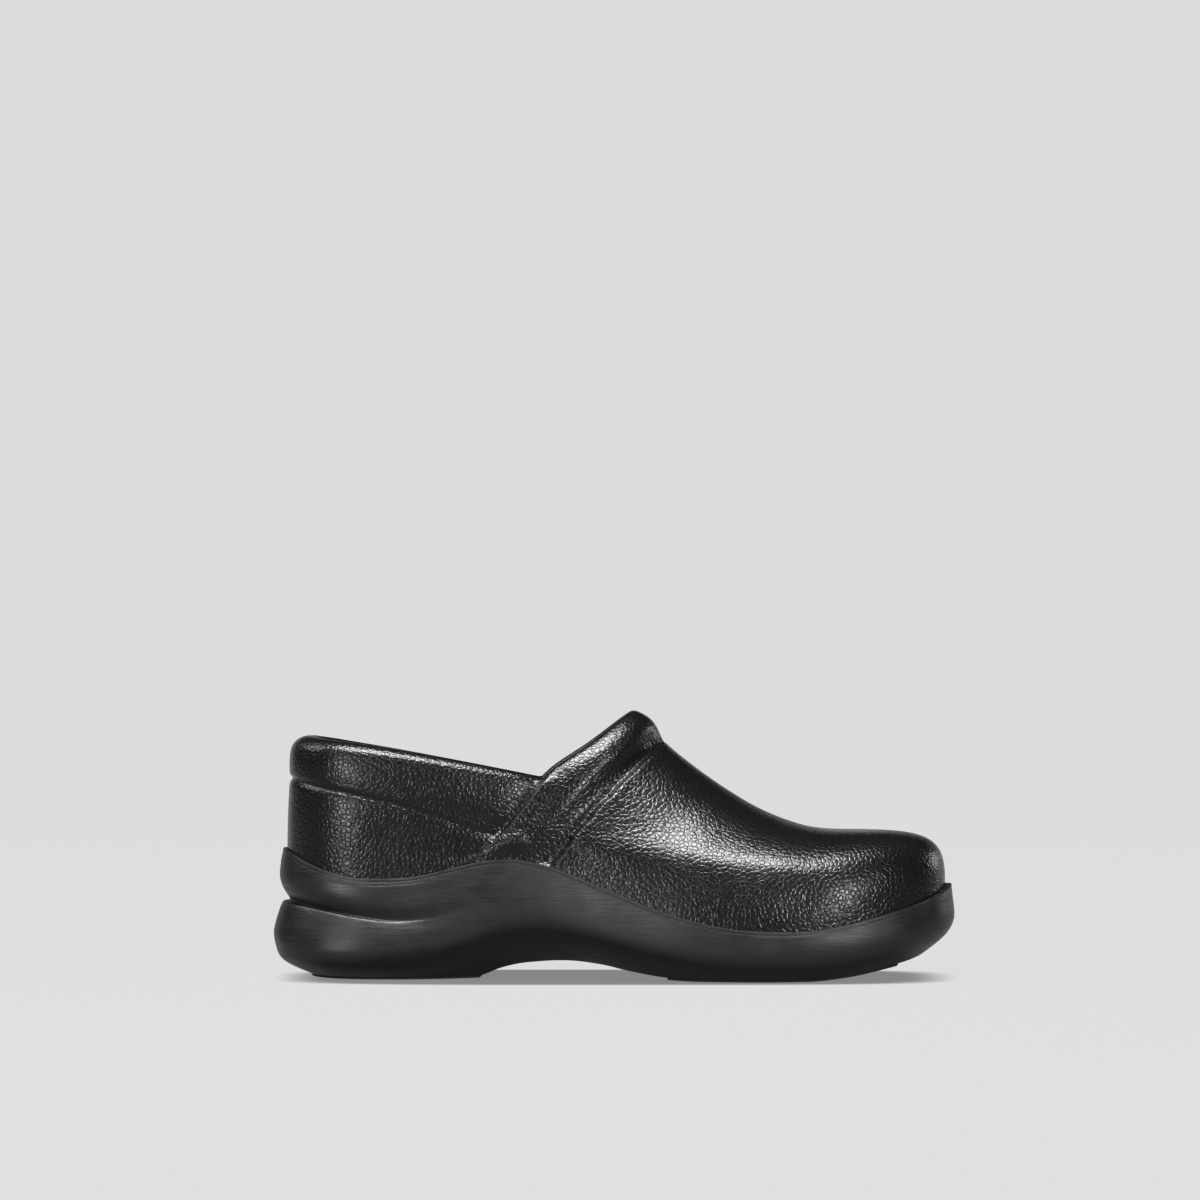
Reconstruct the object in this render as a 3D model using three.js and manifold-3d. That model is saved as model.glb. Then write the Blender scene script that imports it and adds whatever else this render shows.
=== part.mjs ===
// A left chef clog, standing empty on its sole. Millimetres, +Z up, toe towards +X, inner side towards -Y.
// The origin is on the floor, under the middle of the shoe's length and width.
import * as THREE from "three";
import { mergeVertices } from "three/addons/utils/BufferGeometryUtils.js";
import Module from "manifold-3d";

const wasm = await Module();
wasm.setup();

// Driving sizes
const LENGTH = 285; // over the sole, heel to toe
const BALL_WIDTH = 104; // over the sole, at the ball of the foot
const SOLE_HEIGHT = 53; // top of the sole's lip at the back of the heel
const INSTEP_HEIGHT = 111; // top of the throat band before its edge is rounded
const COLLAR_HEIGHT = 100.6; // crown of the collar at the back of the heel
const WALL = 3.2; // moulded wall of the upper
const TUCK = 5; // how far the upper reaches down behind the lip
const GAP = 0.3; // clearance between neighbouring pieces
const COLLAR_ROLL = 7; // outer radius of the collar's padded roll at the heel
const THROAT_ROLL = 2.3; // half the thickness of the throat band's free edge
const COLLAR_GROOVE = 1.3; // depth of the groove under the collar roll
const BAND_PUFF = 1.6; // how far the throat band swells
const VALLEY = 1.3; // depth of the valley between throat band and vamp
const VAMP_STEP = 0.9; // how far the vamp's rear edge stands proud
const BAND_STEP = 0.6; // how far the band's rear edge stands over the quarter
const QUARTER_TUCK = 1.1; // how far the quarter dips where it goes behind the band
const INSOLE = 4; // thickness of the insole
const INSOLE_GAP = 0.5; // clearance round the insole
const INSOLE_CUP = 1.5; // how far the insole's edge is turned up
const INSOLE_DISH = 0.3; // where that turn starts, as a share of the way from its edge to the middle
const TREAD_BED = 1.6; // depth of the recess that holds each tread
const TREAD_PROUD = 1; // how far each tread stands below the sole
const TREAD_INSET = 1.2; // from the sole's bottom edge to the tread's edge
const GROOVE_WIDTH = 2.2; // width of a groove between lugs
const GROOVE_DEPTH = 1.7; // depth of a groove between lugs
const LUG_PITCH = 8.4; // from one lug to the next
const LUG_SWEEP = 7; // how far a lug's middle lies ahead of its ends

const HALF_BALL = BALL_WIDTH / 2;
const HALF_LENGTH = LENGTH / 2;

// Foot line: the upper's outline where it enters the sole, from the heel to the toe.
// along is a share of LENGTH, inner and outer of half the ball width, and lip of SOLE_HEIGHT.
const FOOT_LINE = [
  { along: 0.0196, inner: 0, outer: 0, lip: 1 },
  { along: 0.0265, inner: 0.22, outer: 0.22, lip: 0.985 },
  { along: 0.05, inner: 0.428, outer: 0.428, lip: 0.917 },
  { along: 0.085, inner: 0.571, outer: 0.571, lip: 0.843 },
  { along: 0.135, inner: 0.635, outer: 0.64, lip: 0.787 },
  { along: 0.2, inner: 0.642, outer: 0.667, lip: 0.794 },
  { along: 0.275, inner: 0.645, outer: 0.697, lip: 0.885 },
  { along: 0.34, inner: 0.652, outer: 0.73, lip: 0.947 },
  { along: 0.402, inner: 0.688, outer: 0.776, lip: 0.894 },
  { along: 0.475, inner: 0.77, outer: 0.842, lip: 0.74 },
  { along: 0.55, inner: 0.86, outer: 0.902, lip: 0.579 },
  { along: 0.62, inner: 0.93, outer: 0.955, lip: 0.464 },
  { along: 0.69, inner: 0.955, outer: 0.94, lip: 0.402 },
  { along: 0.76, inner: 0.944, outer: 0.87, lip: 0.394 },
  { along: 0.83, inner: 0.877, outer: 0.756, lip: 0.445 },
  { along: 0.89, inner: 0.754, outer: 0.6, lip: 0.525 },
  { along: 0.935, inner: 0.596, outer: 0.427, lip: 0.592 },
  { along: 0.967, inner: 0.41, outer: 0.23, lip: 0.66 },
  { along: 0.9839, inner: 0.096, outer: -0.096, lip: 0.734 },
];
const CREASE_ROW = 6; // where the throat band's rear edge meets the sole
const SEAM_ROW = 8; // where the vamp's rear edge meets the sole
const TOE_ROW = FOOT_LINE.length - 1;
const LOOP = 2 * TOE_ROW;

// Tops of the sections that close over the foot, one for each foot line row from the crease to the toe.
// along is a share of LENGTH, side of half the ball width towards the outer side, height of INSTEP_HEIGHT.
// square is the section's superellipse power, and skew how far the section leans along the shoe.
const SECTION_TOPS = [
  { along: 0.525, side: 0, height: 1, square: 2.2, skew: 0.9 },
  { along: 0.5495, side: 0, height: 0.938, square: 2.12, skew: 0.9 },
  { along: 0.573, side: 0, height: 0.868, square: 2.05, skew: 0.9 },
  { along: 0.62, side: 0, height: 0.773, square: 2.1, skew: 0.86 },
  { along: 0.665, side: -0.01, height: 0.694, square: 2.2, skew: 0.78 },
  { along: 0.71, side: -0.02, height: 0.626, square: 2.35, skew: 0.66 },
  { along: 0.75, side: -0.03, height: 0.583, square: 2.55, skew: 0.5 },
  { along: 0.785, side: -0.04, height: 0.557, square: 2.8, skew: 0.34 },
  { along: 0.815, side: -0.05, height: 0.546, square: 3.1, skew: 0.18 },
  { along: 0.833, side: -0.06, height: 0.545, square: 3.5, skew: 0.06 },
  { along: 0.833, side: -0.06, height: 0.545, square: 3.9, skew: 0 },
  { along: 0.833, side: -0.06, height: 0.545, square: 4.2, skew: 0 },
  { along: 0.833, side: -0.06, height: 0.545, square: 4.3, skew: 0 },
];
const FAN_ROW = 15; // from here to the toe all sections end in one point
const LEAN_POWER = 1.2;

// The throat band's rear edge as seen from the side: how far it has gone forward at each share of its height.
const REAR_EDGE = [
  { rise: 0, forward: 0 },
  { rise: 0.26, forward: 0.215 },
  { rise: 0.42, forward: 0.347 },
  { rise: 0.611, forward: 0.488 },
  { rise: 0.805, forward: 0.754 },
  { rise: 1, forward: 1 },
];
const NOTCH_RISE = { inner: 0.611, outer: 0.588 }; // where the collar meets the throat band

// Collar crown line, one row for each foot line row from the heel to the last one before the notch.
// along is a share of LENGTH, side of half the ball width, height and drop of COLLAR_HEIGHT.
// drop is how much lower the outer side is. groove is the share of the wall's height where the collar roll
// starts, depth a share of COLLAR_GROOVE, and roll of COLLAR_ROLL.
const COLLAR = [
  { along: 0.031, side: 0, height: 1, drop: 0, groove: 0.65, depth: 1, roll: 1 },
  { along: 0.036, side: 0.186, height: 0.999, drop: 0, groove: 0.652, depth: 1, roll: 0.97 },
  { along: 0.058, side: 0.378, height: 0.992, drop: 0.002, groove: 0.655, depth: 1, roll: 0.85 },
  { along: 0.097, side: 0.517, height: 0.982, drop: 0.008, groove: 0.65, depth: 0.9, roll: 0.7 },
  { along: 0.158, side: 0.572, height: 0.96, drop: 0.015, groove: 0.63, depth: 0.8, roll: 0.58 },
  { along: 0.247, side: 0.592, height: 0.917, drop: 0.018, groove: 0.575, depth: 0.6, roll: 0.52 },
];
const NOTCH_COLLAR = { groove: 0.42, depth: 0.3, roll: 0.45 };
const INNER_ROLL = 0.6; // radius of the roll's inner side as a share of its outer radius

// Side of the sole, one row for each station from the heel to the toe, listed from the lip down.
// Each height is a share of SOLE_HEIGHT, and each out is in shares of SOLE_FLARE from the foot line.
const SOLE_FLARE = 5.6; // how far the heel block stands out past the foot line
const SOLE_SIDE = [
  {
    row: 0, rim: 0.3, belly: [0.82, 0.55], waist: [0.605, -0.2], ledge: [0.573, 0.41],
    block: [0.4, 1], turn: [0.175, 0.41], base: [0.03, -1.6],
  },
  {
    row: 2, rim: 0.3, belly: [0.765, 0.55], waist: [0.585, -0.12], ledge: [0.553, 0.41],
    block: [0.39, 1], turn: [0.16, 0.45], base: [0.022, -1.45],
  },
  {
    row: 4, rim: 0.28, belly: [0.67, 0.52], waist: [0.5, 0.12], ledge: [0.47, 0.52],
    block: [0.35, 0.92], turn: [0.14, 0.5], base: [0.02, -0.9],
  },
  {
    row: 5, rim: 0.28, belly: [0.66, 0.5], waist: [0.455, 0.38], ledge: [0.425, 0.54],
    block: [0.33, 0.76], turn: [0.15, 0.42], base: [0.02, -0.8],
  },
  {
    row: 6, rim: 0.28, belly: [0.73, 0.46], waist: [0.55, 0.52], ledge: [0.46, 0.54],
    block: [0.36, 0.52], turn: [0.23, 0.28], base: [0.05, -1.6],
  },
  {
    row: 7, rim: 0.28, belly: [0.82, 0.42], waist: [0.69, 0.46], ledge: [0.6, 0.46],
    block: [0.5, 0.42], turn: [0.38, 0.1], base: [0.135, -2.9],
  },
  {
    row: 8, rim: 0.28, belly: [0.77, 0.4], waist: [0.66, 0.43], ledge: [0.58, 0.42],
    block: [0.49, 0.38], turn: [0.38, 0.05], base: [0.14, -3.1],
  },
  {
    row: 9, rim: 0.28, belly: [0.63, 0.38], waist: [0.53, 0.4], ledge: [0.45, 0.4],
    block: [0.37, 0.36], turn: [0.28, 0.08], base: [0.1, -2.6],
  },
  {
    row: 10, rim: 0.28, belly: [0.49, 0.38], waist: [0.41, 0.4], ledge: [0.34, 0.4],
    block: [0.26, 0.36], turn: [0.17, 0.1], base: [0.05, -1.8],
  },
  {
    row: 12, rim: 0.28, belly: [0.35, 0.37], waist: [0.3, 0.38], ledge: [0.25, 0.38],
    block: [0.19, 0.34], turn: [0.1, 0.1], base: [0.02, -0.9],
  },
  {
    row: 14, rim: 0.32, belly: [0.385, 0.44], waist: [0.325, 0.5], ledge: [0.265, 0.5],
    block: [0.2, 0.42], turn: [0.12, 0.15], base: [0.055, -0.8],
  },
  {
    row: 16, rim: 0.42, belly: [0.52, 0.54], waist: [0.44, 0.66], ledge: [0.38, 0.64],
    block: [0.32, 0.46], turn: [0.245, 0.05], base: [0.165, -0.85],
  },
  {
    row: 18, rim: 0.48, belly: [0.62, 0.58], waist: [0.52, 0.76], ledge: [0.46, 0.68],
    block: [0.4, 0.48], turn: [0.325, -0.05], base: [0.24, -1.2],
  },
];

// Bottom of the sole over its lowest plane, and floor of the cavity: shares of LENGTH and of SOLE_HEIGHT.
const KEEL = [
  { along: 0, bottom: 0, bed: 0.685 },
  { along: 0.1, bottom: 0, bed: 0.65 },
  { along: 0.2, bottom: 0, bed: 0.65 },
  { along: 0.305, bottom: 0.004, bed: 0.668 },
  { along: 0.33, bottom: 0.055, bed: 0.66 },
  { along: 0.37, bottom: 0.1, bed: 0.635 },
  { along: 0.43, bottom: 0.12, bed: 0.56 },
  { along: 0.48, bottom: 0.095, bed: 0.475 },
  { along: 0.52, bottom: 0.05, bed: 0.405 },
  { along: 0.58, bottom: 0.006, bed: 0.335 },
  { along: 0.62, bottom: 0, bed: 0.302 },
  { along: 0.7, bottom: 0, bed: 0.272 },
  { along: 0.78, bottom: 0.004, bed: 0.277 },
  { along: 0.83, bottom: 0.03, bed: 0.305 },
  { along: 0.89, bottom: 0.09, bed: 0.38 },
  { along: 0.935, bottom: 0.15, bed: 0.445 },
  { along: 1, bottom: 0.34, bed: 0.53 },
];
const HEEL_FAN = 0.135; // where the heel's stations meet on the sole's middle line
const TOE_FAN = 0.84; // where the toe's stations meet on it

// Treads: from one share of LENGTH to another along the sole
const HEEL_TREAD = { from: 0.042, to: 0.308 };
const FRONT_TREAD = { from: 0.585, to: 0.915 };

const lerp = THREE.MathUtils.lerp;
const smooth = (value, from, to) => THREE.MathUtils.smoothstep(value, from, to);
const alongX = (share) => share * LENGTH - HALF_LENGTH;

// A smooth curve through values at rising places that never overshoots them. period closes it.
function curveThrough(places, values, period = 0) {
  const count = places.length;
  const wrap = (i) => ((i % count) + count) % count;
  const place = (i) => (period ? places[wrap(i)] + Math.floor(i / count) * period : places[i]);
  const value = (i) => (period ? values[wrap(i)] : values[i]);
  const rise = (i) => (value(i + 1) - value(i)) / (place(i + 1) - place(i));
  const slopeAt = (i) => {
    if (!period && i === 0) return rise(0);
    if (!period && i === count - 1) return rise(count - 2);
    const before = rise(i - 1);
    const after = rise(i);
    return before * after <= 0 ? 0 : (2 * before * after) / (before + after);
  };
  return (at) => {
    const last = period ? count : count - 1;
    const where = period ? at - Math.floor(at / period) * period : at;
    let i = 0;
    while (i < last - 1 && place(i + 1) <= where) i += 1;
    const width = place(i + 1) - place(i);
    const t = THREE.MathUtils.clamp((where - place(i)) / width, 0, 1);
    const bend = t * t * (3 - 2 * t);
    const enter = width * slopeAt(i) * t * (1 - t) * (1 - t);
    const leave = width * slopeAt(i + 1) * t * t * (t - 1);
    return lerp(value(i), value(i + 1), bend) + enter + leave;
  };
}

const tableCurve = (rows, key, column) =>
  curveThrough(rows.map((row) => row[key]), rows.map((row) => row[column]));

// A curve round the whole shoe from one value for each foot line row and side. side is -1 inner, +1 outer.
function loopCurve(valueOf) {
  const places = [...Array(LOOP).keys()];
  const values = places.map((i) => (i <= TOE_ROW ? valueOf(i, -1) : valueOf(LOOP - i, 1)));
  return curveThrough(places, values, LOOP);
}

const sideOf = (s) => (s <= TOE_ROW ? -1 : 1);
const rowOf = (s) => (s <= TOE_ROW ? s : LOOP - s);

// Foot line and lip
const footX = loopCurve((row) => alongX(FOOT_LINE[row].along));
const footY = loopCurve((row, side) =>
  side * HALF_BALL * (side < 0 ? FOOT_LINE[row].inner : FOOT_LINE[row].outer));
const lipZ = loopCurve((row) => SOLE_HEIGHT * FOOT_LINE[row].lip);
const footZ = (s) => lipZ(s) - TUCK;

// The outward direction in plan at a place on the foot line
function outward(s) {
  const step = 0.01;
  const direction = new THREE.Vector2(
    footY(s + step) - footY(s - step),
    footX(s - step) - footX(s + step),
  );
  return direction.normalize();
}

const topRows = SECTION_TOPS.map((top, i) => ({ ...top, row: i + CREASE_ROW }));
const topCurve = (column) => tableCurve(topRows, "row", column);
const topAlong = topCurve("along");
const topSide = topCurve("side");
const topHeight = topCurve("height");
const topSquare = topCurve("square");
const topSkew = topCurve("skew");
const rearEdge = tableCurve(REAR_EDGE, "rise", "forward");

// A point of the sections that close over the foot. turn goes from 0 at the sole to 1 on the ridge.
function sectionPoint(s, turn) {
  const row = rowOf(s);
  const angle = (turn * Math.PI) / 2;
  const power = 2 / topSquare(row);
  const rise = Math.sin(angle) ** power;
  const inwards = 1 - Math.max(0, Math.cos(angle)) ** power;
  const skew = topSkew(row);
  const lean = (1 - skew) * inwards + skew * rise ** LEAN_POWER;
  const band = smooth(row, CREASE_ROW, SEAM_ROW);
  const forward = row < SEAM_ROW ? lerp(rearEdge(rise), lean, band) : lean;
  return new THREE.Vector3(
    lerp(footX(s), alongX(topAlong(row)), forward),
    lerp(footY(s), HALF_BALL * topSide(row), inwards),
    lerp(footZ(s), INSTEP_HEIGHT * topHeight(row), rise),
  );
}

const turnOfRise = (rise, square) => (2 / Math.PI) * Math.asin(rise ** (square / 2));
const notchRise = (side) => (side < 0 ? NOTCH_RISE.inner : NOTCH_RISE.outer);
const notchTurn = (side) => turnOfRise(notchRise(side), SECTION_TOPS[0].square);

// Collar crown, from the heel to the notch on each side
const notch = (side) => sectionPoint(side < 0 ? CREASE_ROW : LOOP - CREASE_ROW, notchTurn(side));
function collarPoint(row, side) {
  if (row >= CREASE_ROW) return notch(side);
  const { along, side: beyond, height, drop } = COLLAR[row];
  const share = side < 0 ? height : height - drop;
  return new THREE.Vector3(alongX(along), side * beyond * HALF_BALL, share * COLLAR_HEIGHT);
}
const collarX = loopCurve((row, side) => collarPoint(row, side).x);
const collarY = loopCurve((row, side) => collarPoint(row, side).y);
const collarZ = loopCurve((row, side) => collarPoint(row, side).z);
const collarShare = (column) =>
  loopCurve((row) => (row < CREASE_ROW ? COLLAR[row][column] : NOTCH_COLLAR[column]));
const grooveRise = collarShare("groove");
const grooveShare = collarShare("depth");
const rollShare = collarShare("roll");
const BULGE_POWER = 2.4;

// A point of the quarter, which wraps the heel. rise goes from 0 at the sole to 1 at the collar's crown.
function quarterPoint(s, rise) {
  const out = outward(s);
  const top = new THREE.Vector3(collarX(s), collarY(s), collarZ(s));
  const foot = new THREE.Vector3(footX(s), footY(s), footZ(s));
  const inwards = (foot.x - top.x) * out.x + (foot.y - top.y) * out.y;
  const bulge = inwards * (rise - rise ** BULGE_POWER);
  const point = foot.lerp(top, rise);
  point.x += out.x * bulge;
  point.y += out.y * bulge;
  return point;
}

// Rows of the wall, from the foot line to the crown, gathered at the groove and at the roll
const ROLL_SHARES = [1, 0.55, 0.18, 0]; // rows on the roll, from its start to the crown
const WALL_SHARES = [0, 0.33, 0.67]; // rows below the groove, from the foot line
const GROOVE_SPREAD = 1.1; // half the groove's width, as a share of its depth
function quarterRises(s) {
  const groove = grooveRise(s);
  const height = collarZ(s) - footZ(s);
  const lipWidth = (GROOVE_SPREAD * COLLAR_GROOVE) / height;
  const roll = (COLLAR_ROLL * rollShare(s)) / height;
  const rollStart = groove + lipWidth;
  return [
    ...WALL_SHARES.map((share) => groove * share),
    groove - lipWidth,
    groove,
    rollStart,
    lerp(rollStart, 1 - roll, 0.5),
    ...ROLL_SHARES.map((share) => 1 - share * roll),
  ];
}
const NOTCH_LINE = 10; // the wall row that ends in the notch
const RIDGE_LINE = 19; // the wall row that lies on the ridge

// The same rows on the sections that close over the foot, as turns
const SETTLE_ROWS = 5; // stations in which the rows turn from the crease's spacing to an even one
function sectionTurns(s) {
  const row = rowOf(s);
  const crease = s <= TOE_ROW ? CREASE_ROW : LOOP - CREASE_ROW;
  const rises = quarterRises(crease);
  const settle = smooth(row, CREASE_ROW, CREASE_ROW + SETTLE_ROWS);
  return [...Array(RIDGE_LINE + 1).keys()].map((line) => {
    const even = line / RIDGE_LINE;
    const rear = line <= NOTCH_LINE
      ? turnOfRise(notchRise(sideOf(s)) * rises[line], SECTION_TOPS[0].square)
      : lerp(notchTurn(sideOf(s)), 1, (line - NOTCH_LINE) / (RIDGE_LINE - NOTCH_LINE));
    return lerp(rear, even, settle);
  });
}

// Stations round the shoe, one side after the other
const QUARTER_STATIONS = [0.5, 1, 1.5, 2, 2.5, 3, 3.5, 4, 4.5, 5, 5.4, 5.75, 5.93];
const BAND_STATIONS = [6, 6.05, 6.15, 6.45, 6.85, 7.3, 7.65, 7.88, 8];
const VAMP_STATIONS = [8.35, 9, 9.7, 10.4, 11.1, 11.8, 12.5, 13.2, 13.9, 14.5, 15, 15.5, 16, 16.5, 17, 17.5];
const oneSide = [...QUARTER_STATIONS, ...BAND_STATIONS, ...VAMP_STATIONS];
const stations = [0, ...oneSide, TOE_ROW, ...oneSide.map((s) => LOOP - s).reverse()];

// Relief of the outer face over the smooth form: grooves, rolls and steps. Each pair is a start and an end.
const TUCK_ROWS = [5.4, 5.93]; // stations in which the quarter dips behind the band
const TUCK_RISES = [0.1, 0.5]; // and how it deepens from the foot line up
const CLEAR_TURNS = [0.07, 0.2]; // turns in which the relief comes out of the sole's lip
const VAMP_EDGE_ROWS = [SEAM_ROW, SEAM_ROW + 0.7]; // stations in which the vamp's rear edge thins out
const FREE_TURNS = [-0.04, 0.02]; // turns about the notch in which the band's rear edge comes free
const PUFF_END = 0.86; // shares of the way across the band, from here down
const PUFF_POWER = 1.2;
const VALLEY_SLOPE = [0.6, 0.93];
const SEAM_SLOPE = [0.94, 1];
const REAR_SLOPE = [0, 0.2];
const PUFF_TURNS = [0.2, 0.6]; // turns in which the band fills out, from PUFF_FOOT to its full height
const PUFF_FOOT = 0.5;
function quarterRelief(s, rise) {
  const row = rowOf(s);
  const height = collarZ(s) - footZ(s);
  const roll = COLLAR_ROLL * rollShare(s);
  const groove = grooveRise(s);
  const fromGroove = ((rise - groove) * height) / (GROOVE_SPREAD * COLLAR_GROOVE);
  const cut = -COLLAR_GROOVE * grooveShare(s) * Math.max(0, 1 - Math.abs(fromGroove));
  const swell = rise > groove ? Math.sin((Math.PI * (rise - groove)) / (1 - groove)) : 0;
  const fromCrown = (1 - rise) * height;
  const below = Math.max(0, roll - fromCrown);
  const round = roll - Math.sqrt(Math.max(0, roll * roll - below * below));
  const behindBand = QUARTER_TUCK * smooth(row, ...TUCK_ROWS) * smooth(rise, ...TUCK_RISES);
  return cut + 0.5 * COLLAR_GROOVE * grooveShare(s) * swell - round - behindBand;
}

// Width of the throat band at a height, square to its rear edge
const BAND_RATIO = 0.75;
function bandWidth(side, turn) {
  const rear = sectionPoint(side < 0 ? CREASE_ROW : LOOP - CREASE_ROW, turn);
  const front = sectionPoint(side < 0 ? SEAM_ROW : LOOP - SEAM_ROW, turn);
  return BAND_RATIO * rear.distanceTo(front);
}

// How free of the quarter the band's rear edge is, from 0 below the notch to 1 above it
function freeShare(s, turn) {
  const notch = notchTurn(sideOf(s));
  return smooth(turn, notch + FREE_TURNS[0], notch + FREE_TURNS[1]);
}

function sectionRelief(s, turn) {
  const row = rowOf(s);
  const clear = smooth(turn, ...CLEAR_TURNS);
  if (row >= SEAM_ROW) return clear * VAMP_STEP * (1 - smooth(row, ...VAMP_EDGE_ROWS));
  const across = (row - CREASE_ROW) / (SEAM_ROW - CREASE_ROW);
  const width = bandWidth(sideOf(s), turn);
  const fromEdge = across * width;
  const free = freeShare(s, turn);
  const below = Math.max(0, THROAT_ROLL - fromEdge);
  const round = THROAT_ROLL - Math.sqrt(Math.max(0, THROAT_ROLL * THROAT_ROLL - below * below));
  const swell = BAND_PUFF * Math.sin(Math.PI * Math.min(1, across / PUFF_END)) ** PUFF_POWER;
  const valley = -VALLEY * smooth(across, ...VALLEY_SLOPE) * (1 - smooth(across, ...SEAM_SLOPE));
  const vampEdge = VAMP_STEP * smooth(across, ...SEAM_SLOPE);
  const rearEdgeStep = BAND_STEP * (1 - smooth(across, ...REAR_SLOPE)) * (1 - free);
  const puffed = swell * lerp(PUFF_FOOT, 1, smooth(turn, ...PUFF_TURNS));
  return clear * (puffed + valley + vampEdge + rearEdgeStep) - round * free;
}

// Depth of the inner face under the smooth form
function quarterDepth(s, rise) {
  const height = collarZ(s) - footZ(s);
  const roll = COLLAR_ROLL * rollShare(s);
  const fromCrown = (1 - rise) * height;
  const below = Math.max(0, roll - fromCrown);
  const padded = roll + INNER_ROLL * Math.sqrt(Math.max(0, roll * roll - below * below));
  return lerp(padded, WALL, smooth(fromCrown, roll, 5 * roll));
}

function sectionDepth(s, turn) {
  const row = rowOf(s);
  const across = (row - CREASE_ROW) / (SEAM_ROW - CREASE_ROW);
  if (across >= 1) return WALL;
  const fromEdge = across * bandWidth(sideOf(s), turn);
  const free = freeShare(s, turn);
  const below = Math.max(0, THROAT_ROLL - fromEdge);
  const round = THROAT_ROLL - Math.sqrt(Math.max(0, THROAT_ROLL * THROAT_ROLL - below * below));
  const edge = 2 * THROAT_ROLL - round;
  const padded = lerp(edge, WALL, smooth(fromEdge, THROAT_ROLL, 4 * THROAT_ROLL));
  return lerp(WALL, padded, free);
}

const geometryOf = (points, faces) => {
  const geometry = new THREE.BufferGeometry();
  const numbers = points.flatMap((p) => [p.x, p.y, p.z]);
  geometry.setAttribute("position", new THREE.Float32BufferAttribute(numbers, 3));
  geometry.setIndex(faces);
  return geometry;
};

// Two triangles between four corners, leaving out any side that has no length
function addQuad(faces, a, b, c, d) {
  if (a !== b && b !== c && a !== c) faces.push(a, b, c);
  if (a !== c && c !== d && a !== d) faces.push(a, c, d);
}

// The upper: its smooth form first, then an outer and an inner face, joined at the free edges
function buildUpper() {
  const points = [];
  const outer = [];
  const inner = [];
  const ids = new Map();
  const grid = stations.map((s, i) => {
    const row = rowOf(s);
    const isQuarter = row < CREASE_ROW;
    const levels = isQuarter ? quarterRises(s) : sectionTurns(s);
    return levels.map((level, line) => {
      const onRidge = line === RIDGE_LINE;
      const key = onRidge ? "ridge" + Math.min(row, FAN_ROW).toFixed(3) : i + "," + line;
      if (ids.has(key)) return ids.get(key);
      const id = points.length;
      ids.set(key, id);
      points.push(isQuarter ? quarterPoint(s, level) : sectionPoint(s, level));
      const onRim = isQuarter ? line === NOTCH_LINE : row === CREASE_ROW && line >= NOTCH_LINE;
      const crown = isQuarter ? COLLAR_ROLL * rollShare(s) : THROAT_ROLL;
      outer.push(onRim ? -crown : isQuarter ? quarterRelief(s, level) : sectionRelief(s, level));
      inner.push(onRim ? -crown : isQuarter ? -quarterDepth(s, level) : -sectionDepth(s, level));
      return id;
    });
  });
  const faces = [];
  grid.forEach((column, i) => {
    const next = grid[(i + 1) % grid.length];
    const lines = Math.min(column.length, next.length) - 1;
    for (let line = 0; line < lines; line += 1) {
      addQuad(faces, column[line], next[line], next[line + 1], column[line + 1]);
    }
  });
  const form = geometryOf(points, faces);
  form.computeVertexNormals();
  const normals = points.map((_, id) => new THREE.Vector3().fromBufferAttribute(form.attributes.normal, id));
  const moved = (by) => points.map((p, id) => p.clone().addScaledVector(normals[id], by[id]));
  const outerPoints = moved(outer);
  const innerPoints = moved(inner);
  for (const [foot] of grid) innerPoints[foot].z = points[foot].z;
  const both = [...outerPoints, ...innerPoints];
  const count = points.length;
  const all = [...faces];
  for (let f = 0; f < faces.length; f += 3) {
    all.push(faces[f] + count, faces[f + 2] + count, faces[f + 1] + count);
  }
  grid.forEach((column, i) => {
    const next = grid[(i + 1) % grid.length];
    addQuad(all, next[0], column[0], column[0] + count, next[0] + count);
  });
  const solid = geometryOf(both, all);
  return mergeVertices(new THREE.BufferGeometry().copy(solid), 1e-3);
}

// Sole: how far out and how high its side is at a station
const sideCurve = (name, part) => {
  const rows = SOLE_SIDE.map((entry) => ({ row: entry.row, value: part(entry[name]) }));
  const curve = tableCurve(rows, "row", "value");
  return (s) => curve(rowOf(s));
};
const rimOut = sideCurve("rim", (value) => value * SOLE_FLARE);
const sideLine = (name) => ({
  out: sideCurve(name, (value) => value[1] * SOLE_FLARE),
  height: sideCurve(name, (value) => value[0] * SOLE_HEIGHT),
});
const sideLines = ["belly", "waist", "ledge", "block", "turn", "base"].map(sideLine);
const baseOut = sideLines.at(-1).out;
const keelBottom = tableCurve(KEEL, "along", "bottom");
const keelBed = tableCurve(KEEL, "along", "bed");
const shareOf = (x) => (x + HALF_LENGTH) / LENGTH;
const bottomZ = (x) => TREAD_PROUD + SOLE_HEIGHT * keelBottom(shareOf(x));
const bedZ = (x) => SOLE_HEIGHT * keelBed(shareOf(x));

// A point beside the foot line, out by a distance, at a height
function beside(s, out, height) {
  const direction = outward(s);
  return new THREE.Vector3(footX(s) + direction.x * out, footY(s) + direction.y * out, height);
}

// A point part of the way from beside the foot line to the shoe's middle line, at a height that follows x
function towardsMiddle(s, out, share, heightAt) {
  const edge = beside(s, out, 0);
  const middle = THREE.MathUtils.clamp(footX(s), alongX(HEEL_FAN), alongX(TOE_FAN));
  const x = lerp(edge.x, middle, share);
  return new THREE.Vector3(x, lerp(edge.y, 0, share), heightAt(x));
}

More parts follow.
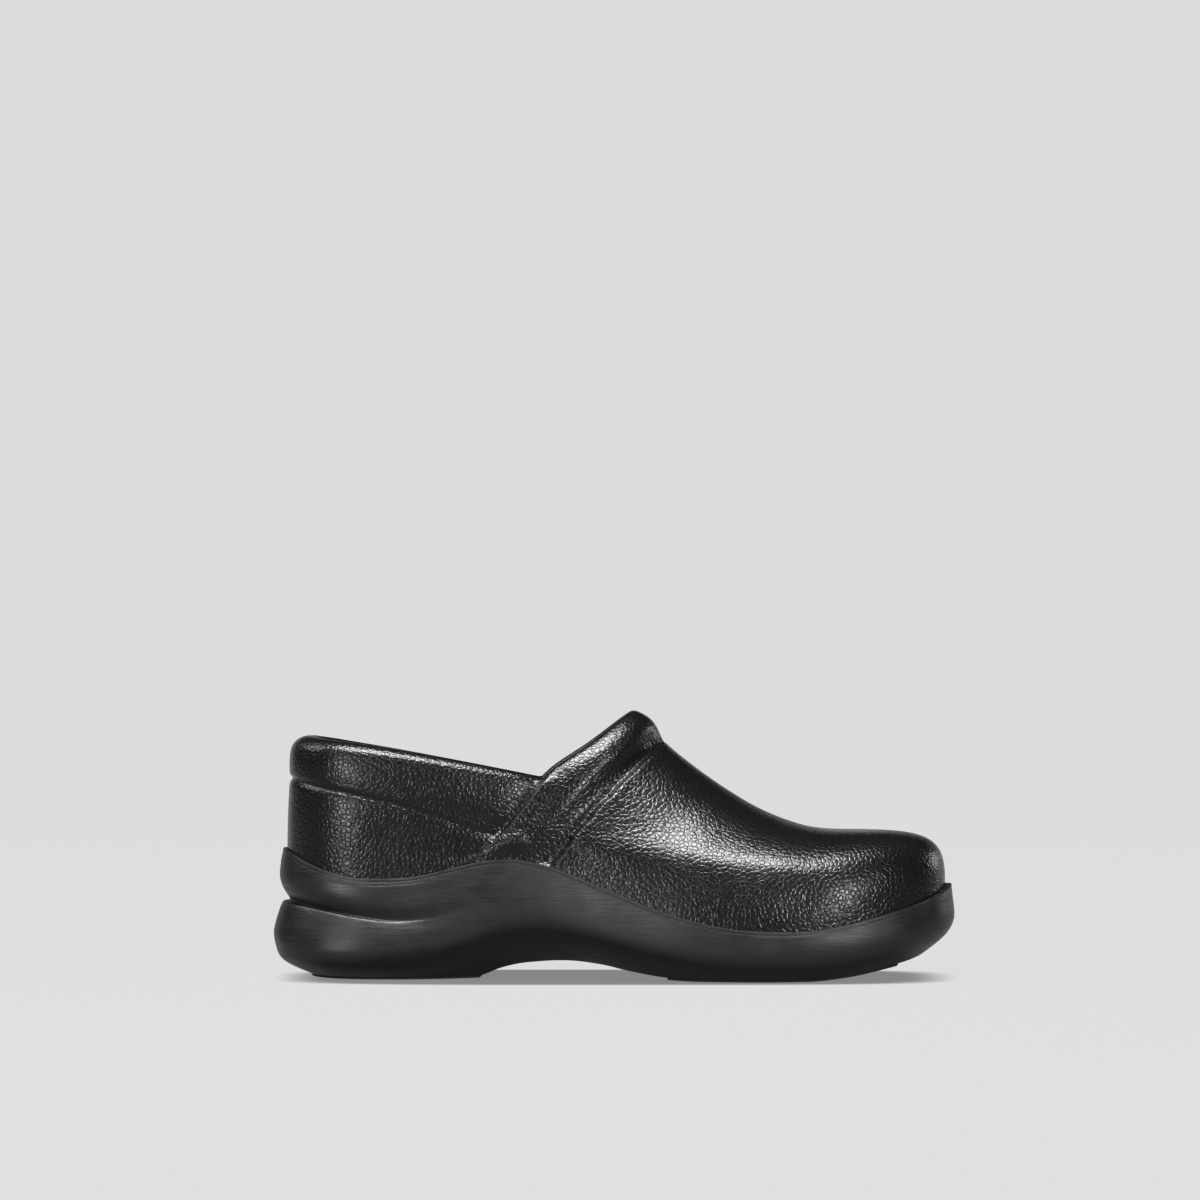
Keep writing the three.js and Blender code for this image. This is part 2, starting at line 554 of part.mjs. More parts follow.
// A solid between two faces that close on the middle line, from sections that run from the upper one down.
function loopSolid(sectionAt) {
  const points = [];
  const ids = new Map();
  const idOf = (key, point) => {
    if (!ids.has(key)) {
      ids.set(key, points.length);
      points.push(point);
    }
    return ids.get(key);
  };
  const grid = stations.map((s, i) => {
    const section = sectionAt(s);
    const last = section.length - 1;
    return section.map((p, line) =>
      idOf(line === 0 || line === last ? line + "middle" + p.x.toFixed(3) : line + "side" + i, p));
  });
  const faces = [];
  grid.forEach((column, i) => {
    const next = grid[(i + 1) % grid.length];
    for (let line = 0; line < column.length - 1; line += 1) {
      addQuad(faces, column[line], column[line + 1], next[line + 1], next[line]);
    }
  });
  return geometryOf(points, faces);
}

// The sole's side from the lip down, with points between the named lines that round it
const SIDE_SWELLS = [0.06, 0.12, 0, 0.07, 0.12, 0.24]; // shares of SOLE_FLARE, between one line and the next
function sidePoints(s) {
  const rim = beside(s, rimOut(s), lipZ(s));
  const knots = [rim, ...sideLines.map((line) => beside(s, line.out(s), line.height(s)))];
  return knots.flatMap((knot, i) => {
    if (i === 0) return [knot];
    const direction = outward(s);
    const swell = SIDE_SWELLS[i - 1] * SOLE_FLARE;
    const middle = knots[i - 1].clone().lerp(knot, 0.5);
    return [middle.add(new THREE.Vector3(direction.x * swell, direction.y * swell, 0)), knot];
  });
}

function soleSection(s) {
  const ledge = footZ(s) - GAP;
  const underside = baseOut(s) - TREAD_INSET / 2;
  return [
    towardsMiddle(s, -WALL, 1, bedZ),
    towardsMiddle(s, -WALL, 0.5, bedZ),
    towardsMiddle(s, -WALL, 0, bedZ),
    beside(s, -WALL, ledge),
    beside(s, GAP, ledge),
    beside(s, GAP, lipZ(s)),
    ...sidePoints(s),
    towardsMiddle(s, underside, 0, bottomZ),
    towardsMiddle(s, underside, 1, bottomZ),
  ];
}

const INSOLE_CORNER = INSOLE / 3; // how far its upper face stands back from its edge
const INSOLE_EDGE = 0.6 * INSOLE; // height of its upright edge
function insoleSection(s) {
  const out = -WALL - INSOLE_GAP;
  const under = (x) => bedZ(x) + GAP;
  const over = (x) => under(x) + INSOLE;
  return [
    towardsMiddle(s, out, 1, over),
    towardsMiddle(s, out, INSOLE_DISH, over),
    towardsMiddle(s, out - INSOLE_CORNER, 0, (x) => over(x) + INSOLE_CUP),
    towardsMiddle(s, out, 0, (x) => under(x) + INSOLE_EDGE),
    towardsMiddle(s, out, 0, under),
    towardsMiddle(s, out, 1, under),
  ];
}

// A slab that follows the sole's bottom inside its edge
const padSection = (inset, above, below) => (s) => {
  const out = baseOut(s) - TREAD_INSET - inset;
  return [
    towardsMiddle(s, out, 1, (x) => bottomZ(x) + above),
    towardsMiddle(s, out, 0, (x) => bottomZ(x) + above),
    towardsMiddle(s, out, 0, (x) => bottomZ(x) - below),
    towardsMiddle(s, out, 1, (x) => bottomZ(x) - below),
  ];
};

// A bar right across the shoe, bowed forward in the middle, from one place to another along it
const BAR_STEPS = 12;
function bowedBar(from, to, topAt) {
  const across = [...Array(BAR_STEPS + 1).keys()].map((i) => HALF_BALL * ((2 * i) / BAR_STEPS - 1));
  const bow = (y) => LUG_SWEEP * (1 - (y / HALF_BALL) ** 2);
  const rear = across.map((y) => new THREE.Vector2(from + bow(y), y));
  const front = across.map((y) => new THREE.Vector2(to + bow(y), y)).reverse();
  const shape = new THREE.Shape([...front, ...rear]);
  const geometry = new THREE.ExtrudeGeometry(shape, { depth: 1, bevelEnabled: false });
  const position = geometry.attributes.position;
  for (let i = 0; i < position.count; i += 1) {
    position.setZ(i, position.getZ(i) > 0.5 ? topAt(position.getX(i)) : -SOLE_HEIGHT);
  }
  return geometry;
}

// Joining and cutting
function toSolid(geometry) {
  const bare = geometry.clone();
  bare.deleteAttribute("normal");
  bare.deleteAttribute("uv");
  const merged = mergeVertices(bare, 1e-3);
  const vertProperties = Float32Array.from(merged.attributes.position.array);
  const triVerts = Uint32Array.from(merged.index.array);
  return new wasm.Manifold(new wasm.Mesh({ numProp: 3, vertProperties, triVerts }));
}

function fromSolid(solid) {
  const mesh = solid.getMesh();
  const geometry = new THREE.BufferGeometry();
  geometry.setAttribute("position", new THREE.BufferAttribute(mesh.vertProperties, 3));
  geometry.setIndex(new THREE.BufferAttribute(mesh.triVerts, 1));
  return geometry;
}

// The stretch of the bottom that a tread covers, grown by a clearance
function padStretch(tread, grow, above, below) {
  const pad = toSolid(loopSolid(padSection(-grow, above, below)));
  const from = alongX(tread.from) - LUG_SWEEP - grow;
  const to = alongX(tread.to) - LUG_SWEEP + grow;
  return pad.intersect(toSolid(bowedBar(from, to, () => SOLE_HEIGHT)));
}

function buildTread(tread) {
  let solid = padStretch(tread, -GAP, TREAD_BED - GAP, TREAD_PROUD);
  const topAt = (x) => bottomZ(x) - TREAD_PROUD + GROOVE_DEPTH;
  const length = (tread.to - tread.from) * LENGTH;
  const lugs = Math.round(length / LUG_PITCH);
  for (let lug = 1; lug < lugs; lug += 1) {
    const middle = alongX(tread.from) - LUG_SWEEP + (length * lug) / lugs;
    const groove = bowedBar(middle - GROOVE_WIDTH / 2, middle + GROOVE_WIDTH / 2, topAt);
    solid = solid.subtract(toSolid(groove));
  }
  return fromSolid(solid);
}

function buildSole() {
  let solid = toSolid(loopSolid(soleSection));
  for (const tread of [HEEL_TREAD, FRONT_TREAD]) {
    solid = solid.subtract(padStretch(tread, 0, TREAD_BED, 2 * TREAD_PROUD));
  }
  return fromSolid(solid);
}

const piece = (name, geometry, color, roughness) => {
  const material = new THREE.MeshStandardMaterial({ color, roughness, metalness: 0 });
  const mesh = new THREE.Mesh(geometry, material);
  mesh.name = name;
  return mesh;
};

const clog = new THREE.Group();
clog.add(
  piece("upper", buildUpper(), 0x17171a, 0.42),
  piece("sole", buildSole(), 0x242427, 0.5),
  piece("insole", loopSolid(insoleSection), 0x1b1b1d, 0.85),
  piece("heel_tread", buildTread(HEEL_TREAD), 0x1d1d1f, 0.75),
  piece("forefoot_tread", buildTread(FRONT_TREAD), 0x1d1d1f, 0.75),
);

export default clog;
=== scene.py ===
# %% [markdown]
# # A black kitchen clog
# This lesson dresses a left chef clog: a grained moulded upper, a smooth cupped sole, ribbed treads and an
# insole. The solids that give its true size are already there, so the lesson starts from their frame. Each
# soft or rounded piece is then made again with fine meshes, from the same few sizes, and takes the place of
# its plain solid.

# %% Load the frame
import math

import bpy
import numpy as np
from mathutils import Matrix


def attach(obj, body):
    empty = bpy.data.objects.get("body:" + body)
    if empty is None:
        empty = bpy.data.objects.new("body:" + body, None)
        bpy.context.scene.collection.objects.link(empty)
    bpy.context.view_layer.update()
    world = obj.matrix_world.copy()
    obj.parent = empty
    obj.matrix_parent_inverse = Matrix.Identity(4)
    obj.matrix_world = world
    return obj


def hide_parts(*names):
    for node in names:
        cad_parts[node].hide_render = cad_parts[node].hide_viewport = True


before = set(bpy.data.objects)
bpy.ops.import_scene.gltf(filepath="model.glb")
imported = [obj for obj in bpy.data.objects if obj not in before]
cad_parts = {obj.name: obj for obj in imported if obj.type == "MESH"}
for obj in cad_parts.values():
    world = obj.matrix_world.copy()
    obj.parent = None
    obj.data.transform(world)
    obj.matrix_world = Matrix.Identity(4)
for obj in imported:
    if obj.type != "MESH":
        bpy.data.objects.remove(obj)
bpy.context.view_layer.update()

# %% [markdown]
# ## Camera
# The photo looks level at the inner side of the shoe, from two metres, through a long lens. From that far the
# toe and the heel show at one scale, and the far side hardly shows at all.

# %% Camera
CAMERA_PLACE, CAMERA_REACH, VIEW_GAMMA = (-0.0063, -1.974, 0.1562), 50, 0.88
FOCAL_PIXELS, FRAME_PIXELS, SENSOR = 4730, 1200, 36.0

scene = bpy.context.scene
camera_data = bpy.data.cameras.new("camera")
camera_data.sensor_width = SENSOR
camera_data.lens = SENSOR * FOCAL_PIXELS / FRAME_PIXELS
camera_data.clip_end = CAMERA_REACH
camera = bpy.data.objects.new("camera", camera_data)
camera.location = CAMERA_PLACE
camera.rotation_euler = (math.radians(90), 0, 0)
scene.collection.objects.link(camera)
scene.camera = camera
scene.view_settings.view_transform = "Standard"
scene.view_settings.gamma = VIEW_GAMMA
print("lens", round(camera_data.lens, 1), "mm")

# %% [markdown]
# ## Helpers
# A finish is one shader with a height for its bump. It is worked out from the object's own coordinates, in
# metres, so it stays put on the shoe. The short helpers below make a mesh, add a node with its inputs and
# link it, so that each finish further on reads as a recipe.

# %% Mesh helpers
def add_object(name, verts, faces):
    mesh = bpy.data.meshes.new(name)
    mesh.from_pydata([tuple(v) for v in verts], [], faces)
    mesh.validate()
    obj = bpy.data.objects.new(name, mesh)
    scene.collection.objects.link(obj)
    return obj


def shade_smooth(obj):
    obj.data.polygons.foreach_set("use_smooth", [True] * len(obj.data.polygons))


# %% Finish helpers
WHITE = (1, 1, 1, 1)


def tree_node(tree, kind, inputs=None, **settings):
    node = tree.nodes.new(kind)
    for key, value in settings.items():
        setattr(node, key, value)
    for key, value in (inputs or {}).items():
        if isinstance(value, bpy.types.NodeSocket):
            tree.links.new(value, node.inputs[key])
        else:
            node.inputs[key].default_value = value
    return node.outputs


def new_finish(name, color, roughness, specular):
    material = bpy.data.materials.new(name)
    material.use_nodes = True
    shader = material.node_tree.nodes["Principled BSDF"]
    shader.inputs["Base Color"].default_value = (*color, 1)
    shader.inputs["Roughness"].default_value = roughness
    shader.inputs["Specular IOR Level"].default_value = specular
    return material, shader


def add_node(material, kind, inputs=None, **settings):
    return tree_node(material.node_tree, kind, inputs, **settings)


def feed(shader, name, value):
    shader.id_data.links.new(value, shader.inputs[name])


def object_place(material, stretch=(1, 1, 1)):
    place = add_node(material, "ShaderNodeTexCoord")["Object"]
    return add_node(material, "ShaderNodeMapping", {"Vector": place, "Scale": stretch})["Vector"]


def noise(material, place, size, detail=2.0):
    return add_node(material, "ShaderNodeTexNoise", {"Vector": place, "Scale": 1 / size, "Detail": detail})


def to_range(material, value, low, high, from_low=0.0, from_high=1.0, kind="LINEAR"):
    return add_node(material, "ShaderNodeMapRange", {
        "Value": value, "From Min": from_low, "From Max": from_high, "To Min": low, "To Max": high},
        interpolation_type=kind)["Result"]


def math_node(material, operation, a, b):
    return add_node(material, "ShaderNodeMath", {0: a, 1: b}, operation=operation)[0]


def vector_node(material, operation, inputs):
    return add_node(material, "ShaderNodeVectorMath", inputs, operation=operation)[0]


def plus(material, value, more, share):
    return math_node(material, "ADD", value, math_node(material, "MULTIPLY", more, share))


def bumped(material, shader, height, distance):
    feed(shader, "Normal", add_node(material, "ShaderNodeBump", {"Height": height, "Distance": distance})[0])


# %% [markdown]
# ## Floor
# The shoe stands on a pale sheet that curves up far behind it, so no horizon shows. The sheet glows evenly,
# as lit paper does in such a photo, but for a painted shade under the sole: there the glow eases down inside
# a rounded oblong a little shorter than the shoe, standing in for the shoe's shadow.

# %% Floor sheet
SHEET_HALF, SHEET_FRONT, SHEET_BEND, BEND_RADIUS, SHEET_TOP, BEND_POINTS = 3.0, -0.85, 3.0, 0.7, 1.1, 25
SHEET_TONE, SHEET_ROUGHNESS, SHEET_GLOW = 0.006, 0.9, 0.743
SHADE_LENGTH, SHADE_WIDTH, SHADE_FORWARD = 0.134, 0.04, 0.015
SHADE_GLOW, SHADE_POWER, SHADE_EDGE = 0.28, 4, (0.6, 1.3)

bend_angles = np.linspace(0, math.pi / 2, BEND_POINTS)
sheet_profile = [(SHEET_FRONT, 0.0)]
sheet_profile += [
    (SHEET_BEND + BEND_RADIUS * math.sin(a), BEND_RADIUS * (1 - math.cos(a))) for a in bend_angles]
sheet_profile += [(SHEET_BEND + BEND_RADIUS, SHEET_TOP)]
sheet_verts = [(x, y, z) for y, z in sheet_profile for x in (-SHEET_HALF, SHEET_HALF)]
sheet_faces = [(2 * i, 2 * i + 1, 2 * i + 3, 2 * i + 2) for i in range(len(sheet_profile) - 1)]
floor = add_object("floor_sheet", sheet_verts, sheet_faces)
shade_smooth(floor)

floor_paint, floor_shader = new_finish("pale_sheet", (SHEET_TONE,) * 3, SHEET_ROUGHNESS, 0.0)
floor_shader.inputs["Emission Color"].default_value = WHITE
floor_axes = add_node(floor_paint, "ShaderNodeSeparateXYZ", {0: object_place(floor_paint)})
# painted shade: the sheet's glow is eased down in a rounded oblong under the sole, in place of its shadow
shade_terms = []
for axis, half, forward in (("X", SHADE_LENGTH, 0), ("Y", SHADE_WIDTH, SHADE_FORWARD)):
    share = math_node(floor_paint, "DIVIDE", math_node(floor_paint, "ADD", floor_axes[axis], forward), half)
    shade_terms.append(math_node(floor_paint, "POWER", share, SHADE_POWER))
shade_reach = math_node(floor_paint, "ADD", *shade_terms)
glow = to_range(floor_paint, shade_reach, SHADE_GLOW, SHEET_GLOW, *SHADE_EDGE, "SMOOTHSTEP")
feed(floor_shader, "Emission Strength", glow)
floor.data.materials.append(floor_paint)
print("sheet", 2 * SHEET_HALF, "m wide, shade", round(2 * SHADE_LENGTH, 3), "m long")

# %% [markdown]
# ## Lights
# A glossy black shoe is drawn by what it mirrors. A large overhead bank gives the broad gloss along the
# vamp, two side banks give the soft spots on the toe and the heel, and two weak banks behind draw the edges
# of heel and toe.

# %% Lights
LIGHT_AIM, WORLD_GLOW = (0, 0, 0.05), 0.02
BANKS = {  # place, width and height, watts
    "top_bank": ((-0.15, -0.55, 1.5), (1.0, 0.6), 94),
    "rim_bank": ((-1.15, 0.1, 1.0), (0.6, 0.6), 11),
    "back_bank": ((1.35, 0.8, 0.42), (0.45, 0.45), 4.5),
    "right_bank": ((0.92, -1.55, 0.47), (0.26, 0.32), 22),
    "left_bank": ((-0.95, -1.6, 0.33), (0.4, 0.4), 17),
}

for name, (place, (width, height), power) in BANKS.items():
    bank = bpy.data.lights.new(name, "AREA")
    bank.shape, bank.size, bank.size_y, bank.energy = "RECTANGLE", width, height, power
    light = bpy.data.objects.new(name, bank)
    light.location = place
    towards = np.array(LIGHT_AIM) - np.array(place)
    tilt = math.acos(-towards[2] / np.linalg.norm(towards))
    light.rotation_euler = (tilt, 0, math.atan2(towards[1], towards[0]) - math.pi / 2)
    scene.collection.objects.link(light)
world = bpy.data.worlds.new("studio")
world.use_nodes = True
world_inputs = world.node_tree.nodes["Background"].inputs
world_inputs["Color"].default_value, world_inputs["Strength"].default_value = WHITE, WORLD_GLOW
scene.world = world
print(len(BANKS), "banks,", sum(power for *_, power in BANKS.values()), "W in all")

# %% [markdown]
# ## Grained skin of the upper
# A mould cut from real leather leaves flat pebbles with narrow valleys between them, two millimetres across.
# A cell pattern gives both: its edges make the valleys, and its middles dome each pebble slightly. Noise
# bends the pattern so that no cell is regular, and a broad noise varies the gloss a little, as handling does.

# %% Grained upper
UPPER_COLOR, UPPER_ROUGHNESS, UPPER_SPECULAR = (0.004, 0.004, 0.0043), 0.3, 0.3
GRAIN_DEPTH, PEBBLE, PEBBLE_CHANCE = 0.000115, 0.0019, 0.9
VALLEY_WIDTH, FLAT_SHARE, DOME_SHARE, DOME_REACH = 0.22, 0.5, 0.34, 0.5
BEND_SIZE, BEND_REACH, NOISE_MIDDLE = 0.004, 0.0016, (0.5, 0.5, 0.5)
FINE_SIZE, FINE_SHARE, BROAD_SIZE, BROAD_SHARE = 0.0007, 0.04, 0.012, 0.3
WEAR_SIZE, WEAR_LOW, WEAR_HIGH, PEBBLE_SHINE = 0.02, -0.05, 0.07, -0.05


def cells(material, place, feature):
    sizes = {"Vector": place, "Scale": 1 / PEBBLE, "Randomness": PEBBLE_CHANCE}
    return add_node(material, "ShaderNodeTexVoronoi", sizes, feature=feature)["Distance"]


def grained_finish():
    material, shader = new_finish("grained_black", UPPER_COLOR, UPPER_ROUGHNESS, UPPER_SPECULAR)
    place = object_place(material)
    swirl = noise(material, place, BEND_SIZE)["Color"]
    offset = vector_node(material, "SUBTRACT", {0: swirl, 1: NOISE_MIDDLE})
    scaled = vector_node(material, "SCALE", {0: offset, "Scale": BEND_REACH})
    bent = vector_node(material, "ADD", {0: place, 1: scaled})
    edges, middles = cells(material, bent, "DISTANCE_TO_EDGE"), cells(material, bent, "F1")
    flats = to_range(material, edges, 0, FLAT_SHARE, 0, VALLEY_WIDTH, "SMOOTHSTEP")
    middles = math_node(material, "MULTIPLY", middles, middles)
    pebbles = math_node(material, "ADD", flats, to_range(material, middles, DOME_SHARE, 0, 0, DOME_REACH))
    height = plus(material, pebbles, noise(material, place, FINE_SIZE)["Fac"], FINE_SHARE)
    height = plus(material, height, noise(material, place, BROAD_SIZE)["Fac"], BROAD_SHARE)
    bumped(material, shader, height, GRAIN_DEPTH)
    worn = noise(material, place, WEAR_SIZE)["Fac"]
    gloss = to_range(material, worn, UPPER_ROUGHNESS + WEAR_LOW, UPPER_ROUGHNESS + WEAR_HIGH)
    feed(shader, "Roughness", plus(material, gloss, pebbles, PEBBLE_SHINE))
    return material


upper_finish = grained_finish()
print("pebbles", PEBBLE * 1000, "mm across,", GRAIN_DEPTH * 1000, "mm deep")

# %% [markdown]
# ## Satin skin of the sole
# The sole is the same foam with a smooth skin. Its mould was polished along the shoe, so faint streaks run
# lengthwise, and the gloss comes and goes in soft clouds.

# %% Smooth sole
SOLE_COLOR, SOLE_ROUGHNESS, SOLE_SPECULAR = (0.0055, 0.0055, 0.006), 0.45, 0.38
STREAK_SIZE, STREAK_STRETCH, CLOUD_SIZE, SPECK_SIZE = 0.0008, (0.08, 0.08, 1), 0.014, 0.0004
SKIN_DEPTH, SPECK_SHARE, FINE_DETAIL = 0.000045, 0.5, 3.0
GLOSS_RANGE, NOISE_RANGE = (0.32, 0.54), (0.32, 0.68)


def sole_skin():
    material, shader = new_finish("satin_black", SOLE_COLOR, SOLE_ROUGHNESS, SOLE_SPECULAR)
    place = object_place(material)
    streaks = noise(material, object_place(material, STREAK_STRETCH), STREAK_SIZE, FINE_DETAIL)["Fac"]
    clouds = noise(material, place, CLOUD_SIZE, FINE_DETAIL)["Fac"]
    specks = noise(material, place, SPECK_SIZE)["Fac"]
    bumped(material, shader, plus(material, streaks, specks, SPECK_SHARE), SKIN_DEPTH)
    mixed = math_node(material, "MULTIPLY", math_node(material, "ADD", streaks, clouds), 0.5)
    feed(shader, "Roughness", to_range(material, mixed, *GLOSS_RANGE, *NOISE_RANGE))
    return material


sole_finish = sole_skin()
print("sole's roughness from", GLOSS_RANGE[0], "to", GLOSS_RANGE[1])

# %% [markdown]
# ## Rubber and cloth
# The treads are dull, slightly gritty rubber. The photo shows no inside, so the lining is a plain thin knit
# and the insole a plain cloth over foam: two crossed waves make either weave.

# %% Treads, lining and insole
RUBBER_COLOR, RUBBER_ROUGHNESS, RUBBER_SPECULAR, RUBBER_RANGE = (0.01, 0.01, 0.01), 0.7, 0.3, (0.62, 0.8)
GRIT_SIZE, GRIT_DEPTH = 0.0005, 0.00006
CLOTH_ROUGHNESS, CLOTH_SPECULAR, WEAVE_DEPTH, WEAVE_WANDER = 0.9, 0.2, 0.00012, 0.4
LINING_COLOR, LINING_THREAD = (0.012, 0.012, 0.013), 0.004
INSOLE_COLOR, INSOLE_THREAD = (0.02, 0.02, 0.022), 0.005


def rubber_finish():
    material, shader = new_finish("tread_rubber", RUBBER_COLOR, RUBBER_ROUGHNESS, RUBBER_SPECULAR)
    grit = noise(material, object_place(material), GRIT_SIZE, FINE_DETAIL)["Fac"]
    bumped(material, shader, grit, GRIT_DEPTH)
    feed(shader, "Roughness", to_range(material, grit, *RUBBER_RANGE))
    return material


def fabric_finish(name, color, thread):
    material, shader = new_finish(name, color, CLOTH_ROUGHNESS, CLOTH_SPECULAR)
    sizes = {"Vector": object_place(material), "Scale": 1 / thread, "Distortion": WEAVE_WANDER}
    warp, weft = (add_node(material, "ShaderNodeTexWave", sizes, bands_direction=way)["Fac"]
                  for way in ("X", "Y"))
    bumped(material, shader, math_node(material, "MULTIPLY", warp, weft), WEAVE_DEPTH)
    return material


tread_finish = rubber_finish()
lining_finish = fabric_finish("lining_knit", LINING_COLOR, LINING_THREAD)
insole_finish = fabric_finish("insole_cloth", INSOLE_COLOR, INSOLE_THREAD)
print("threads", LINING_THREAD * 1000, "and", INSOLE_THREAD * 1000, "mm")

# %% [markdown]
# ## The last in numbers
# A shoe is drawn from a foot line, the outline where the upper enters the sole, and from sections that rise
# from it. The tables hold shares of a few driving sizes in millimetres. A row is one station from the heel to
# the toe, and the outer side is walked back to the heel, so a place on the shoe is one number from 0 to 36.
#
# In the tables, along is a share of the length from the heel, inner and outer are shares of half the ball's
# width, and heights are shares of the sole's, the instep's or the collar's height.

# %% Driving sizes, in millimetres
MM = 0.001
LENGTH, BALL_WIDTH, SOLE_HEIGHT, INSTEP_HEIGHT, COLLAR_HEIGHT = 285, 104, 53, 111, 100.6
WALL, TUCK, GAP = 3.2, 5, 0.3
COLLAR_ROLL, THROAT_ROLL, INNER_ROLL = 7, 2.3, 0.6
COLLAR_GROOVE, BAND_PUFF, VALLEY, VAMP_STEP, BAND_STEP, QUARTER_TUCK = 1.1, 2.3, 2.2, 1.4, 0.9, 1.6
HALF_BALL, HALF_LENGTH = BALL_WIDTH / 2, LENGTH / 2
CREASE_ROW, SEAM_ROW, FAN_ROW, TOE_ROW = 6, 8, 15, 18
LOOP = 2 * TOE_ROW


def columns(table):
    head, *rows = table.splitlines()
    values = np.array([[float(v) for v in row.split()] for row in rows])
    return {name: values[:, i] for i, name in enumerate(head.split())}


print("length", LENGTH, "mm, ball", BALL_WIDTH, "mm, instep", INSTEP_HEIGHT, "mm")

# %% Upper's tables
FOOT_LINE = """along inner outer lip
0.0196 0     0      1
0.0265 0.22  0.22   0.985
0.05   0.428 0.428  0.917
0.085  0.571 0.571  0.843
0.135  0.635 0.64   0.787
0.2    0.642 0.667  0.794
0.275  0.645 0.697  0.885
0.34   0.652 0.73   0.947
0.402  0.688 0.776  0.894
0.475  0.77  0.842  0.74
0.55   0.86  0.902  0.579
0.62   0.93  0.955  0.464
0.69   0.955 0.94   0.402
0.76   0.944 0.87   0.394
0.83   0.877 0.756  0.445
0.89   0.754 0.6    0.525
0.935  0.596 0.427  0.592
0.967  0.41  0.23   0.66
0.9839 0.096 -0.096 0.734"""

SECTION_TOPS = """row along side height square skew
6  0.525  0     1     2.2  0.9
7  0.5495 0     0.938 2.12 0.9
8  0.573  0     0.868 2.05 0.9
9  0.62   0     0.773 2.1  0.86
10 0.665  -0.01 0.694 2.2  0.78
11 0.71   -0.02 0.626 2.35 0.66
12 0.75   -0.03 0.583 2.55 0.5
13 0.785  -0.04 0.557 2.8  0.34
14 0.815  -0.05 0.546 3.1  0.18
15 0.833  -0.06 0.545 3.5  0.06
16 0.833  -0.06 0.545 3.9  0
17 0.833  -0.06 0.545 4.2  0
18 0.833  -0.06 0.545 4.3  0"""

COLLAR = """along side height drop groove depth roll
0.031 0     1     0     0.65  1    1
0.036 0.186 0.999 0     0.652 1    0.97
0.058 0.378 0.992 0.002 0.655 0.95 0.9
0.097 0.517 0.982 0.008 0.65  0.75 0.8
0.158 0.572 0.96  0.015 0.63  0.4  0.72
0.247 0.592 0.917 0.018 0.575 0.4  0.68"""

foot, tops, collar = columns(FOOT_LINE), columns(SECTION_TOPS), columns(COLLAR)
print("stations", len(foot["along"]), "sections", len(tops["row"]), "collar rows", len(collar["along"]))

# %% [markdown]
# For the sole, each name is one line along its side. Its _z column is the line's height and the plain column
# how far out of the foot line it lies, as a share of the flare. The keel gives the bottom and the floor of
# the cup along the middle of the shoe.

# %% Sole's tables
SOLE_SIDE = """row rim belly_z belly waist_z waist ledge_z ledge block_z block turn_z turn base_z base
0  0.3  0.79  0.55 0.605 -0.2  0.573 0.41 0.37 1    0.16  0.5   0.03  -1.6
2  0.3  0.725 0.55 0.585 -0.12 0.553 0.28 0.275 1    0.13  0.65  0.022 -1.45
4  0.28 0.65  0.52 0.5   0.12  0.47  0.42 0.265 0.92 0.12 0.65  0.02  -0.9
5  0.28 0.66  0.5  0.455 0.38  0.425 0.54 0.33 0.76 0.15  0.42  0.02  -0.8
6  0.28 0.73  0.46 0.55  0.52  0.46  0.54 0.36 0.52 0.23  0.28  0.05  -1.6
7  0.28 0.82  0.42 0.69  0.46  0.6   0.46 0.47 0.42 0.345 0.12  0.135 -2.9
8  0.28 0.77  0.4  0.66  0.43  0.58  0.42 0.46 0.38 0.345 0.08  0.14  -3.1
9  0.28 0.63  0.38 0.53  0.4   0.45  0.4  0.37 0.36 0.28  0.08  0.1   -2.6
10 0.28 0.49  0.38 0.41  0.4   0.34  0.4  0.26 0.36 0.17  0.1   0.05  -1.8
12 0.28 0.35  0.37 0.3   0.38  0.25  0.38 0.19 0.34 0.1   0.1   0.02  -0.9
14 0.32 0.385 0.44 0.325 0.5   0.265 0.5  0.2  0.42 0.12  0.15  0.055 -0.8
16 0.42 0.52  0.54 0.44  0.66  0.38  0.64 0.32 0.46 0.245 0.05  0.165 -0.85
18 0.48 0.62  0.58 0.52  0.76  0.46  0.68 0.4  0.48 0.325 -0.05 0.24  -1.2"""

KEEL = """along bottom bed
0     0     0.685
0.1   0     0.65
0.2   0     0.65
0.305 0.004 0.668
0.33  0.055 0.66
0.37  0.1   0.635
0.43  0.12  0.56
0.48  0.095 0.475
0.52  0.05  0.405
0.58  0.006 0.335
0.62  0     0.302
0.7   0     0.272
0.78  0.004 0.277
0.83  0.03  0.305
0.89  0.09  0.38
0.935 0.15  0.445
1     0.34  0.53"""

side_table, keel = columns(SOLE_SIDE), columns(KEEL)
print("side rows", len(side_table["row"]), "keel rows", len(keel["along"]))

# %% [markdown]
# ## Smooth curves from short tables
# A curve through a few rows can ring or kink, and gloss shows both. So each table column becomes a curve that
# never overshoots its rows, and is then blurred a little along the shoe, as a file or a sanding block would
# do.

# %% Curves
FINE, KERNEL_REACH, ROW_BLUR, SLOPE_STEP = 48, 3, 0.3, 0.02
KEEL_BLUR, BED_BLUR, REAR_BLUR, COLLAR_BLUR, SIDE_BLUR = 0.006, 0.01, 0.02, 0.2, 0.5


def blurred(values, width, ends):
    reach = max(1, int(KERNEL_REACH * width))
    kernel = np.exp(-0.5 * (np.arange(-reach, reach + 1) / width) ** 2)
    padded = np.pad(values, reach, mode="reflect", reflect_type=ends)
    return np.convolve(padded, kernel / kernel.sum(), mode="valid")


